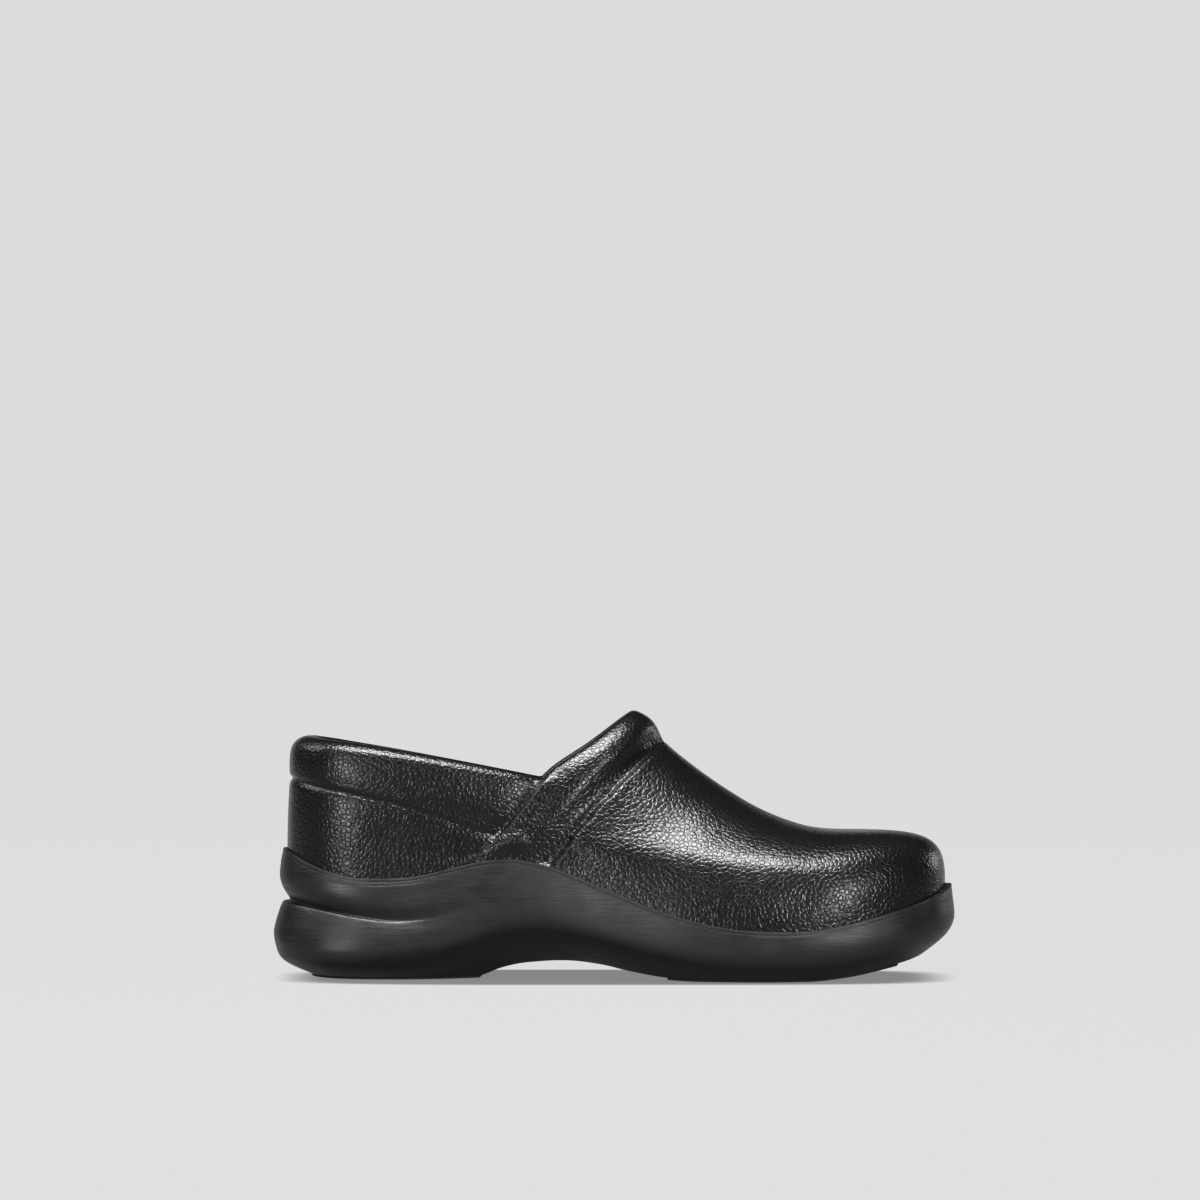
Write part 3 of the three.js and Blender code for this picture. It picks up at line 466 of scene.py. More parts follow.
def through(places, values, blur=ROW_BLUR, loop=0, ends="odd"):
    places, values = np.array(places, float), np.array(values, float)
    if loop:
        places = np.concatenate([places[-3:] - loop, places, places[:3] + loop])
        values = np.concatenate([values[-3:], values, values[:3]])
    gap = np.diff(places)
    rise = np.diff(values) / gap
    before, after = rise[:-1], rise[1:]
    same = before * after > 0
    middle = np.where(same, 2 * before * after / np.where(same, before + after, 1), 0)
    slope = np.concatenate([rise[:1], middle, rise[-1:]])
    fine = np.linspace(places[0], places[-1], FINE * len(places) + 1)
    i = np.clip(np.searchsorted(places, fine, side="right") - 1, 0, len(gap) - 1)
    t = (fine - places[i]) / gap[i]
    curve = values[i] + (values[i + 1] - values[i]) * t * t * (3 - 2 * t)
    curve += gap[i] * (slope[i] * t * (1 - t) ** 2 + slope[i + 1] * t * t * (t - 1))
    curve = blurred(curve, blur / (fine[1] - fine[0]), ends)
    return lambda at: np.interp(np.mod(at, loop) if loop else at, fine, curve)


def loop_curve(inner, outer, blur=ROW_BLUR):
    values = np.concatenate([inner, outer[-2:0:-1]])
    return through(np.arange(LOOP), values, blur, loop=LOOP)


def lerp(a, b, t):
    return a + (b - a) * t


def ease(value, start, end):
    t = np.clip((value - start) / (end - start), 0, 1)
    return t * t * (3 - 2 * t)


def along_x(share):
    return share * LENGTH - HALF_LENGTH


def row_of(s):
    return np.where(s <= TOE_ROW, s, LOOP - s)


def is_inner(s):
    return s <= TOE_ROW


foot_x = loop_curve(along_x(foot["along"]), along_x(foot["along"]))
foot_y = loop_curve(-HALF_BALL * foot["inner"], HALF_BALL * foot["outer"])
lip_z = loop_curve(SOLE_HEIGHT * foot["lip"], SOLE_HEIGHT * foot["lip"])
top_curve = {name: through(tops["row"], tops[name]) for name in ("along", "side", "height", "square", "skew")}
keel_bottom = through(keel["along"], keel["bottom"], KEEL_BLUR)
keel_bed = through(keel["along"], keel["bed"], BED_BLUR)


def outward(s):
    dx, dy = (curve(s + SLOPE_STEP) - curve(s - SLOPE_STEP) for curve in (foot_x, foot_y))
    return dy / np.hypot(dx, dy), -dx / np.hypot(dx, dy)


print("foot line from", foot_x(0.0).round(1), "to", foot_x(TOE_ROW).round(1), "mm")

# %% [markdown]
# ## The upper's smooth form
# Behind the crease the quarter wraps the heel up to the collar. From the crease to the toe, sections close
# over the foot: each is a superellipse, round at the instep and squarer at the toe, and it leans along the
# shoe, because the throat and the vamp's seam slope forward.

# %% Sections
REAR_RISE = [0, 0.26, 0.42, 0.611, 0.805, 1]
REAR_FORWARD = [0, 0.215, 0.347, 0.488, 0.754, 1]
NOTCH_INNER, NOTCH_OUTER = 0.611, 0.588
LEAN_POWER, BULGE_POWER = 1.2, 2.4
NOTCH_GROOVE, NOTCH_DEPTH, NOTCH_ROLL = 0.42, 0.3, 0.5
rear_edge = through(REAR_RISE, REAR_FORWARD, REAR_BLUR)


def section_point(s, turn):
    row = row_of(s)
    power = 2 / top_curve["square"](row)
    rise = np.sin(turn * math.pi / 2) ** power
    inwards = 1 - np.maximum(0, np.cos(turn * math.pi / 2)) ** power
    skew = top_curve["skew"](row)
    lean = (1 - skew) * inwards + skew * rise ** LEAN_POWER
    forward = lerp(rear_edge(rise), lean, ease(row, CREASE_ROW, SEAM_ROW))
    return np.stack([
        lerp(foot_x(s), along_x(top_curve["along"](row)), forward),
        lerp(foot_y(s), HALF_BALL * top_curve["side"](row), inwards),
        lerp(lip_z(s) - TUCK, INSTEP_HEIGHT * top_curve["height"](row), rise),
    ], axis=-1)


print("section tops up to", INSTEP_HEIGHT * tops["height"].max(), "mm")


# %% Collar and quarter
def turn_of_rise(rise):
    return 2 / math.pi * np.arcsin(rise ** (tops["square"][0] / 2))


NOTCH_TURN_INNER, NOTCH_TURN_OUTER = turn_of_rise(NOTCH_INNER), turn_of_rise(NOTCH_OUTER)
notches = [
    section_point(np.array(float(CREASE_ROW)), NOTCH_TURN_INNER),
    section_point(np.array(float(LOOP - CREASE_ROW)), NOTCH_TURN_OUTER),
]


def collar_loop(axis):
    sides = []
    for sign, drop, notch in ((-1, 0, notches[0]), (1, 1, notches[1])):
        known = (
            along_x(collar["along"]),
            sign * HALF_BALL * collar["side"],
            COLLAR_HEIGHT * (collar["height"] - drop * collar["drop"]),
        )[axis]
        sides.append(np.concatenate([known, np.full(TOE_ROW + 1 - CREASE_ROW, notch[axis])]))
    return loop_curve(*sides, COLLAR_BLUR)


def collar_share(name, at_notch):
    values = np.concatenate([collar[name], np.full(TOE_ROW + 1 - CREASE_ROW, at_notch)])
    return loop_curve(values, values, COLLAR_BLUR)


collar_x, collar_y, collar_z = (collar_loop(axis) for axis in range(3))
groove_rise = collar_share("groove", NOTCH_GROOVE)
groove_depth = collar_share("depth", NOTCH_DEPTH)
roll_share = collar_share("roll", NOTCH_ROLL)


def quarter_point(s, rise):
    out_x, out_y = outward(s)
    foot_z = lip_z(s) - TUCK
    inwards = (foot_x(s) - collar_x(s)) * out_x + (foot_y(s) - collar_y(s)) * out_y
    bulge = inwards * (rise - rise ** BULGE_POWER)
    return np.stack([
        lerp(foot_x(s), collar_x(s), rise) + out_x * bulge,
        lerp(foot_y(s), collar_y(s), rise) + out_y * bulge,
        lerp(foot_z, collar_z(s), rise),
    ], axis=-1)


print("notches at", [n.round(1).tolist() for n in notches])

# %% [markdown]
# ## Rows and stations of the fine mesh
# The mesh is a grid of stations round the shoe and rows up its wall. Both gather where the form turns
# quickly: at the collar's roll, in the groove under it, at the crease behind the throat band and at the
# vamp's seam.

# %% Stations and rows
STRETCHES = (  # from a row, to a row, step
    (0, 5.4, 0.08), (5.4, 5.92, 0.04), (5.92, 5.995, 0.02), (6, 6.2, 0.025), (6.2, 7.7, 0.06),
    (7.7, 8.12, 0.015), (8.12, 17.95, 0.12),
)
ROW_STEPS = [6, 6, 7, 5, 5, 8, 7, 4, 4, 4]
RIDGE_STEPS, EVEN_ROW = 42, 11
GROOVE_PLACES, GROOVE_SHOULDER, ROLL_PLACES = (0.33, 0.67), 1.1, (1, 0.55, 0.18)

side_stations = np.unique(np.concatenate([np.arange(*stretch) for stretch in STRETCHES]).round(4))
stations = np.concatenate([side_stations, [TOE_ROW], LOOP - side_stations[:0:-1]])
COUNT = len(stations)
line_places = np.concatenate([[0.0], *[i + np.arange(1, n + 1) / n for i, n in enumerate(ROW_STEPS)]])
NOTCH_LINE = len(line_places) - 1
RIDGE_LINE = NOTCH_LINE + RIDGE_STEPS


def quarter_rises(s):
    groove, height = groove_rise(s), collar_z(s) - lip_z(s) + TUCK
    width = GROOVE_SHOULDER * COLLAR_GROOVE / height
    roll = COLLAR_ROLL * roll_share(s) / height
    start = groove + width
    lines = [0 * groove, *(share * groove for share in GROOVE_PLACES), groove - width, groove, start]
    lines += [(start + 1 - roll) / 2, *(1 - share * roll for share in ROLL_PLACES), 1 + 0 * groove]
    places = np.arange(len(lines))
    return np.stack([np.interp(line_places, places, row) for row in np.atleast_2d(np.stack(lines, axis=-1))])


def section_turns(s):
    inner = is_inner(s)[:, None]
    crease = np.where(is_inner(s), CREASE_ROW, LOOP - CREASE_ROW).astype(float)
    notch_rise = np.where(inner, NOTCH_INNER, NOTCH_OUTER)
    notch_turn = np.where(inner, NOTCH_TURN_INNER, NOTCH_TURN_OUTER)
    lower = turn_of_rise(notch_rise * quarter_rises(crease))
    upper = lerp(notch_turn, 1, np.arange(1, RIDGE_STEPS + 1)[None, :] / RIDGE_STEPS)
    rear = np.concatenate([lower, upper], axis=1)
    even = np.linspace(0, 1, RIDGE_LINE + 1)[None, :]
    return lerp(rear, even, ease(row_of(s), CREASE_ROW, EVEN_ROW)[:, None])


print(COUNT, "stations round the shoe,", RIDGE_LINE + 1, "rows up to the ridge")

# %% Grid of the upper
rows = row_of(stations)
quarter_ids = np.nonzero(rows < CREASE_ROW)[0]
section_ids = np.nonzero(rows >= CREASE_ROW)[0]
form = np.full((COUNT, RIDGE_LINE + 1, 3), np.nan)
level = np.full((COUNT, RIDGE_LINE + 1), np.nan)
level[quarter_ids, :NOTCH_LINE + 1] = quarter_rises(stations[quarter_ids])
level[section_ids] = section_turns(stations[section_ids])
form[quarter_ids, :NOTCH_LINE + 1] = quarter_point(
    stations[quarter_ids][:, None], level[quarter_ids, :NOTCH_LINE + 1])
form[section_ids] = section_point(stations[section_ids][:, None], level[section_ids])

# Both sides share the ridge, and the toe's stations share its last point
ids = np.arange(COUNT * (RIDGE_LINE + 1)).reshape(COUNT, -1)
for i in range(1, COUNT):
    mirror = COUNT - i
    if rows[i] >= CREASE_ROW and i > mirror:
        ids[i, RIDGE_LINE] = ids[mirror, RIDGE_LINE]
fan_first = int(np.argmax(rows >= FAN_ROW))
ids[rows >= FAN_ROW, RIDGE_LINE] = ids[fan_first, RIDGE_LINE]


def grid_faces(ids, tops_of):
    faces = []
    for i in range(len(ids)):
        j = (i + 1) % len(ids)
        for line in range(min(tops_of[i], tops_of[j])):
            corners = [ids[i, line], ids[j, line], ids[j, line + 1], ids[i, line + 1]]
            face = [c for k, c in enumerate(corners) if c != corners[k - 1]]
            if len(face) > 2:
                faces.append(face)
    return faces


last_line = np.where(rows < CREASE_ROW, NOTCH_LINE, RIDGE_LINE)
upper_faces = grid_faces(ids, last_line)
print("upper", len(upper_faces), "faces on its outside")

# %% [markdown]
# ## Relief of the wall
# The real upper is one moulding that copies a sewn shoe, so its seams are steps in one wall. The relief is a
# height along the surface's normal: a roll at the collar and a groove under it. The same pass sets how thick
# the wall is.

# %% Relief of the quarter
GROOVE_SPREAD, QUARTER_SWELL, ROLL_FADE = 1.9, 0.9, 5
FIRST_TUCK, LAST_TUCK, TUCK_RISES = (0.4, 5, 5.8), (0.85, 5.6, 5.99), (0.1, 0.5)


def normals_of(points, faces):
    mesh = bpy.data.meshes.new("scratch_form")
    mesh.from_pydata([tuple(p) for p in points], [], faces)
    normals = np.empty(len(points) * 3)
    mesh.vertices.foreach_get("normal", normals)
    bpy.data.meshes.remove(mesh)
    return normals.reshape(-1, 3)


def dip(distance):
    return 0.5 + 0.5 * np.cos(math.pi * np.clip(np.abs(distance), 0, 1))


def circle_drop(radius, below):
    below = np.maximum(0, below)
    return radius - np.sqrt(np.maximum(0, radius * radius - below * below))


def tucked(row, share, first, last):
    return share * ease(row, first, last)


flat_form = np.nan_to_num(form.reshape(-1, 3))
form_normals = normals_of(flat_form, upper_faces).reshape(form.shape)
relief, depth = np.zeros(level.shape), np.zeros(level.shape)

s, rise = stations[quarter_ids][:, None], level[quarter_ids, :NOTCH_LINE + 1]
row = row_of(s)
height = collar_z(s) - lip_z(s) + TUCK
roll = COLLAR_ROLL * roll_share(s)
from_crown = (1 - rise) * height
above_groove = np.clip((rise - groove_rise(s)) / (1 - groove_rise(s)), 0, 1)
groove_at = (rise - groove_rise(s)) * height / (GROOVE_SPREAD * COLLAR_GROOVE)
quarter_relief = QUARTER_SWELL * np.sin(math.pi * above_groove)
quarter_relief -= COLLAR_GROOVE * groove_depth(s) * dip(groove_at)
quarter_relief -= circle_drop(roll, roll - from_crown)
tuck = tucked(row, *FIRST_TUCK) + tucked(row, *LAST_TUCK)
quarter_relief -= QUARTER_TUCK * tuck * ease(rise, *TUCK_RISES)
rolled_wall = roll + INNER_ROLL * np.sqrt(np.maximum(0, roll ** 2 - np.maximum(0, roll - from_crown) ** 2))
relief[quarter_ids, :NOTCH_LINE + 1] = quarter_relief
depth[quarter_ids, :NOTCH_LINE + 1] = lerp(rolled_wall, WALL, ease(from_crown, roll, ROLL_FADE * roll))
print("quarter's relief from", quarter_relief.min().round(2), "to", quarter_relief.max().round(2), "mm")

# %% [markdown]
# ## Throat band and vamp
# Across the band, 0 is the crease behind it and 1 the vamp's seam. The band is puffed, then falls into a
# valley, and the vamp's edge stands proud of it. That edge wanders a little on the sides, as a cut leather
# edge does.

# %% Relief of the band and the vamp
BAND_SHARE = 0.75
CLEAR_TURNS, OPEN_TURNS, FREE_TURNS, TOP_TURNS = (0.07, 0.2), (0.02, 0.07), (-0.04, 0.02), (0.82, 1)
PUFF_END, PUFF_END_TOP, PUFF_POWER, PUFF_FOOT, PUFF_TURNS = 0.86, 0.97, 1.2, 0.5, (0.2, 0.6)
SEAM_WANDER, SEAM_SLOPE, VALLEY_SLOPE = 0.02, (-0.06, 0.03), (0.55, 0.94)
STEADY_TURNS = (0.5, 0.72)
VALLEY_TOP, VAMP_TOP, VAMP_ROWS = 0.02, 0.2, (8.03, 9.8)
EDGE_BEAD, EDGE_BEAD_AT, EDGE_BEAD_WIDTH, EDGE_BEAD_WANDER = 0.25, 0.05, 0.06, 0.7
BAND_SLOPE, CHANNEL, CHANNEL_SLOPE = (0.08, 0.3), 1.9, (0, 0.1)
WANDER_WAVES = ((1.0, 7.3), (0.6, 17.1), (0.5, 31.7), (0.35, 57.9))
SEAM_PACE, SEAM_SEED, BEAD_PACE, BEAD_SEED = 6, 1.7, 8, 4.1


def wander(at, seed):
    waves = [size * np.sin(pace * at + seed * (k + 1)) for k, (size, pace) in enumerate(WANDER_WAVES)]
    return sum(waves) / sum(size for size, pace in WANDER_WAVES)


def same_side(row, s):
    return np.where(is_inner(s), row, LOOP - row)


s, turn = stations[section_ids][:, None], level[section_ids]
row = row_of(s)
notch_turn = np.where(is_inner(s), NOTCH_TURN_INNER, NOTCH_TURN_OUTER)
rear = section_point(same_side(CREASE_ROW, s) + 0 * turn, turn)
front = section_point(same_side(SEAM_ROW, s) + 0 * turn, turn)
across = (row - CREASE_ROW) / (SEAM_ROW - CREASE_ROW) + 0 * turn
from_edge = across * BAND_SHARE * np.linalg.norm(front - rear, axis=-1)
clear, opened, at_top = ease(turn, *CLEAR_TURNS), ease(turn, *OPEN_TURNS), ease(turn, *TOP_TURNS)
free = ease(turn, notch_turn + FREE_TURNS[0], notch_turn + FREE_TURNS[1])
round_edge = circle_drop(THROAT_ROLL, THROAT_ROLL - from_edge)
puff_share = np.clip(across / lerp(PUFF_END, PUFF_END_TOP, at_top), 0, 1)
puff = np.abs(np.sin(math.pi * puff_share)) ** PUFF_POWER
puff *= BAND_PUFF * lerp(PUFF_FOOT, 1, ease(turn, *PUFF_TURNS))
loose = 1 - ease(turn, *STEADY_TURNS)
seam_at = 1 + SEAM_WANDER * loose * wander(SEAM_PACE * turn, SEAM_SEED)
over = ease(across, seam_at + SEAM_SLOPE[0], seam_at + SEAM_SLOPE[1])
valley = -VALLEY * lerp(1, VALLEY_TOP, at_top) * ease(across, *VALLEY_SLOPE) * (1 - over)
vamp_edge = VAMP_STEP * lerp(1, VAMP_TOP, at_top) * over * (1 - ease(row, *VAMP_ROWS))
edge_bead = EDGE_BEAD * np.exp(-((across - seam_at - EDGE_BEAD_AT) / EDGE_BEAD_WIDTH) ** 2)
edge_bead *= lerp(1, VAMP_TOP, at_top)
edge_bead *= 1 + EDGE_BEAD_WANDER * loose * wander(BEAD_PACE * turn, BEAD_SEED)
rear_step = BAND_STEP * (1 - ease(across, *BAND_SLOPE)) - CHANNEL * (1 - ease(across, *CHANNEL_SLOPE))
raised = clear * (puff + vamp_edge + edge_bead + rear_step * (1 - free))
relief[section_ids] = raised + opened * valley - round_edge * free
rim_wall = lerp(2 * THROAT_ROLL - round_edge, WALL, ease(from_edge, THROAT_ROLL, 4 * THROAT_ROLL))
depth[section_ids] = np.where(across < 1, lerp(WALL, rim_wall, free), WALL)

# At the free rim the outer and inner face meet
on_rim = np.zeros(level.shape, bool)
on_rim[quarter_ids, NOTCH_LINE] = True
on_rim[np.ix_(np.nonzero(rows == CREASE_ROW)[0], range(NOTCH_LINE, RIDGE_LINE + 1))] = True
crown = np.where(rows < CREASE_ROW, COLLAR_ROLL * roll_share(stations), THROAT_ROLL)[:, None]
relief, depth = np.where(on_rim, -crown, relief), np.where(on_rim, crown, depth)
print("band up to", from_edge[across <= 1].max().round(1), "mm wide")

# %% [markdown]
# ## Soft creases
# The photo shows a few soft folds and swells. Each is a stroke in the shoe's side view, from x0, z0 to
# x1, z1, on the inner side (-1) or the outer (1). Its depth is a trough, or a ridge where it is negative.

# %% Creases
CREASES = """side x0 z0 x1 z1 width depth
-1 -44 63 -57 50   3    1.1
-1 -38 57 -53 52   5.5 -2
-1 -19 51 -26 48   3.5 -0.8
-1 -76 73 -47 63   3    0.35
-1 -30 75 -41 62   5    0.45
-1 -95 60 -58 53   7    0.4
-1  -5 53  84 46.5 8   -1.1
-1  82 55  72 24  10    0.5
-1  40 62  58 40  12    0.3
 1 -44 60 -56 50   3    0.9
 1  80 55  70 24  10    0.5
 1 -90 60 -58 54   7    0.4"""
STROKE_START, STROKE_END, FOOT_LEVELS = (-0.3, 0.2), (0.8, 1.3), (0.04, 0.15)

strokes = columns(CREASES)
for side, x0, z0, x1, z1, width, crease_depth in zip(*strokes.values()):
    stroke = np.array([x1 - x0, z1 - z0])
    apart = np.stack([form[..., 0] - x0, form[..., 2] - z0], axis=-1)
    share = np.clip(apart @ stroke / (stroke @ stroke), STROKE_START[0], STROKE_END[1])
    away = np.linalg.norm(apart - share[..., None] * stroke, axis=-1)
    press = crease_depth * np.exp(-(away / width) ** 2) * (form[..., 1] * side > 0)
    press *= ease(share, *STROKE_START) * (1 - ease(share, *STROKE_END)) * ease(level, *FOOT_LEVELS)
    relief -= np.where(on_rim, 0, np.nan_to_num(press))

outer = form + form_normals * relief[..., None]
inner = form - form_normals * depth[..., None]
inner[:, 0, 2] = form[:, 0, 2]
print("deepest relief", np.nanmin(relief).round(2), "mm, thickest wall", np.nanmax(depth).round(1), "mm")

# %% [markdown]
# ## One closed shell
# The outer and the inner face meet at the collar's rim and at the foot, so the wall is closed. Its grain runs
# over the collar and a short way down the inside, and a thin knit lining covers the rest.

# %% Upper mesh
LINING_DROP, LINING_START, LINING_SLOPE = 16, -110, 0.18


def merged_mesh(name, points, faces):
    used = sorted({c for face in faces for c in face})
    place = {old: new for new, old in enumerate(used)}
    return add_object(name, points[used] * MM, [[place[c] for c in face] for face in faces])


shift = COUNT * (RIDGE_LINE + 1)
inner_ids = np.where(on_rim, ids, ids + shift)
inner_faces = [face[::-1] for face in grid_faces(inner_ids, last_line)]
foot_faces = [
    [ids[(i + 1) % COUNT, 0], ids[i, 0], inner_ids[i, 0], inner_ids[(i + 1) % COUNT, 0]] for i in range(COUNT)
]
upper_points = np.nan_to_num(np.concatenate([outer.reshape(-1, 3), inner.reshape(-1, 3)]))
upper = merged_mesh("upper_shell", upper_points, upper_faces + foot_faces + inner_faces)
shade_smooth(upper)
upper.data.materials.append(upper_finish)
upper.data.materials.append(lining_finish)
for polygon in upper.data.polygons[len(upper_faces) + len(foot_faces):]:
    x, _, z = polygon.center
    lining_top = (COLLAR_HEIGHT - LINING_DROP) * MM - LINING_SLOPE * max(0, x - LINING_START * MM)
    polygon.material_index = 1 if z < lining_top else 0
print("upper", len(upper.data.vertices), "points")

# %% [markdown]
# ## The sole
# The sole is a cup: a ledge carries the upper's edge, a lip hides it, and the side swells, nips in at the
# heel's groove and swells again. Its profile is a chain of named lines, rounded by a spline at every station.

# %% Side of the sole
SOLE_FLARE = 5.6
SIDE_NAMES = ["belly", "waist", "ledge", "block", "turn", "base"]
SIDE_SWELLS = [0.06, 0.12, 0, 0.07, 0.12, 0.24]
HEEL_FAN, TOE_FAN, ARCH_ROWS = 0.135, 0.84, (5, 8)
TREAD_PROUD, TREAD_BED, TREAD_INSET = 1, 1.6, 1.2
side_curve = {name: through(side_table["row"], side_table[name], SIDE_BLUR, ends="even")
              for name in side_table if name != "row"}


def side_value(name, s):
    return side_curve[name](row_of(s))


def bottom_z(x):
    return TREAD_PROUD + SOLE_HEIGHT * keel_bottom((x + HALF_LENGTH) / LENGTH)


def bed_z(x):
    return SOLE_HEIGHT * keel_bed((x + HALF_LENGTH) / LENGTH)


def beside(s, out, height):
    out_x, out_y = outward(s)
    return np.stack([foot_x(s) + out_x * out, foot_y(s) + out_y * out, height + 0 * out_x], axis=-1)


def towards_middle(s, out, share, height_at):
    edge = beside(s, out, 0)
    middle = np.clip(foot_x(s), along_x(HEEL_FAN), along_x(TOE_FAN))
    x = lerp(edge[:, 0], middle, share)
    return np.stack([x, lerp(edge[:, 1], 0, share), height_at(x)], axis=-1)


def side_knots(s):
    rim = beside(s, side_value("rim", s) * SOLE_FLARE, lip_z(s))
    knots = [rim]
    for name, swell in zip(SIDE_NAMES, SIDE_SWELLS):
        knot = beside(s, side_value(name, s) * SOLE_FLARE, side_value(name + "_z", s) * SOLE_HEIGHT)
        swollen = swell * SOLE_FLARE * (1 - ease(row_of(s), *ARCH_ROWS))
        middle = (knots[-1] + knot) / 2 + beside(s, swollen, 0) - beside(s, 0, 0)
        knots += [middle, knot]
    return knots


print("lip from", lip_z(stations).min().round(1), "to", lip_z(stations).max().round(1), "mm high")

# %% Profile of the side
def spline(before, start, end, after, t):
    return 0.5 * (2 * start + (end - before) * t + (2 * before - 5 * start + 4 * end - after) * t ** 2
                  + (3 * start - before - 3 * end + after) * t ** 3)


LIP_DROPS = [0.25, 0.5, 0.8, 1.05, 1.3, 1.55, 1.8, 2.2, 2.8]
LIP_BACK, LIP_FRONT, LIP_RISE = 0.35, 0.12, 0.1
BEAD_DROP, BEAD_HEIGHT, BEAD_SPREAD = 0.75, 0.06, 0.35
LINE_DROP, LINE_DEPTH, LINE_SPREAD = 1.35, 0.11, 0.22
SPLINE_STEPS, SANDING, SANDING_PASSES = 5, 0.9, 40


def sole_profile(s):
    knots = side_knots(s)
    first = knots[1] - knots[0]
    reach = np.linalg.norm(first, axis=-1, keepdims=True)
    out = beside(s, 1, 0) - beside(s, 0, 0)
    rounded = [knots[0] - LIP_BACK * out, knots[0] + LIP_FRONT * first / reach]
    rounded[0][:, 2] += LIP_RISE
    for drop in LIP_DROPS:
        bead = BEAD_HEIGHT * math.exp(-((drop - BEAD_DROP) / BEAD_SPREAD) ** 2)
        line = LINE_DEPTH * math.exp(-((drop - LINE_DROP) / LINE_SPREAD) ** 2)
        rounded.append(knots[0] + first / reach * drop + out * (bead - line))
    start = knots[0] + first / reach * LIP_DROPS[-1]
    chain = [knots[0], start, *knots[1:]]
    under = towards_middle(s, side_value("base", s) * SOLE_FLARE - TREAD_INSET / 2, 0, bottom_z)
    chain += [under]
    for k in range(1, len(chain) - 1):
        before, after = chain[k - 1], chain[min(k + 2, len(chain) - 1)]
        for step in range(1, SPLINE_STEPS + 1):
            rounded.append(spline(before, chain[k], chain[k + 1], after, step / SPLINE_STEPS))
    profile = np.stack(rounded)
    kept = len(LIP_DROPS) + 2
    sanded = SANDING * ease(row_of(s), *ARCH_ROWS)[:, None]
    for _ in range(SANDING_PASSES):
        profile[kept:-1] = lerp(profile[kept:-1], (profile[kept - 1:-2] + profile[kept + 1:]) / 2, sanded)
    return list(profile)


side_profile = sole_profile(stations)
print("profile of", len(side_profile), "points at", len(stations), "stations")

# %% [markdown]
# ## The cup as one closed loop
# The same stations carry the cup's floor, its inner wall, the ledge, the side and the bottom, so joining them
# row by row closes the sole. Where the rows run together along the middle of the foot, points that fall on
# one place are made one.

# %% Sole body
INSIDE_STEPS = 10


def loop_mesh(name, sections):
    grid = np.stack(sections, axis=1)
    ids = np.arange(grid.shape[0] * grid.shape[1]).reshape(grid.shape[:2])
    for line in (0, grid.shape[1] - 1):
        seen = {}
        for i, x in enumerate(grid[:, line, 0].round(2)):
            ids[i, line] = seen.setdefault(x, ids[i, line])
    faces = [face[::-1] for face in grid_faces(ids, np.full(len(ids), grid.shape[1] - 1))]
    obj = merged_mesh(name, grid.reshape(-1, 3), faces)
    shade_smooth(obj)
    return obj


ledge_z = lip_z(stations) - TUCK - GAP
inner_wall = [towards_middle(stations, -WALL, 1 - k / INSIDE_STEPS, bed_z)
              for k in range(INSIDE_STEPS + 1)]
cup = inner_wall + [
    beside(stations, -WALL, ledge_z),
    beside(stations, GAP, ledge_z),
    beside(stations, GAP, lip_z(stations) + LIP_RISE),
]
underside_out = side_value("base", stations) * SOLE_FLARE - TREAD_INSET / 2
underside = [towards_middle(stations, underside_out, share, bottom_z)
             for share in np.arange(1, INSIDE_STEPS + 1) / INSIDE_STEPS]
sole = loop_mesh("sole_body", cup + side_profile + underside)
sole.data.materials.append(sole_finish)
print("sole", len(sole.data.vertices), "points")

# %% [markdown]
# ## Treads
# Two rubber treads sit in shallow pockets of the sole. Their ribs repeat at one pitch and bow forward in the
# middle, which suits Geometry Nodes: a slab is trimmed by a wide bowed bar, and a row of narrow bars is cut
# out of it. The work is done flat, because the cuts are then plain, and the result is bent up to the sole's
# bottom afterwards.

# %% Bars for the ribbed slab
LUG_SWEEP, LUG_PITCH, GROOVE_WIDTH, GROOVE_DEPTH = 7, 8.4, 2.2, 1.7
GROOVE_REACH, BAR_HEIGHT, BAR_SPREAD, BAR_POINTS = 0.93, 40, 2.4, 25

rib_tree = bpy.data.node_groups.new("ribbed_slab", "GeometryNodeTree")
rib_tree.interface.new_socket("Geometry", in_out="INPUT", socket_type="NodeSocketGeometry")
RIB_SIZES = "Start", "Length", "Half Width", "Sweep", "Pitch", "Groove Width", "Groove Top", "Groove Reach"
for title in RIB_SIZES:
    rib_tree.interface.new_socket(title, in_out="INPUT", socket_type="NodeSocketFloat")
rib_tree.interface.new_socket("Grooves", in_out="INPUT", socket_type="NodeSocketInt")
rib_tree.interface.new_socket("Finish", in_out="INPUT", socket_type="NodeSocketMaterial")
rib_tree.interface.new_socket("Geometry", in_out="OUTPUT", socket_type="NodeSocketGeometry")
rib_input = rib_tree.nodes.new("NodeGroupInput").outputs


def rib_node(kind, inputs=None, **settings):
    return tree_node(rib_tree, kind, inputs, **settings)


def rib_math(operation, a, b):
    return rib_node("ShaderNodeMath", {0: a, 1: b}, operation=operation)[0]


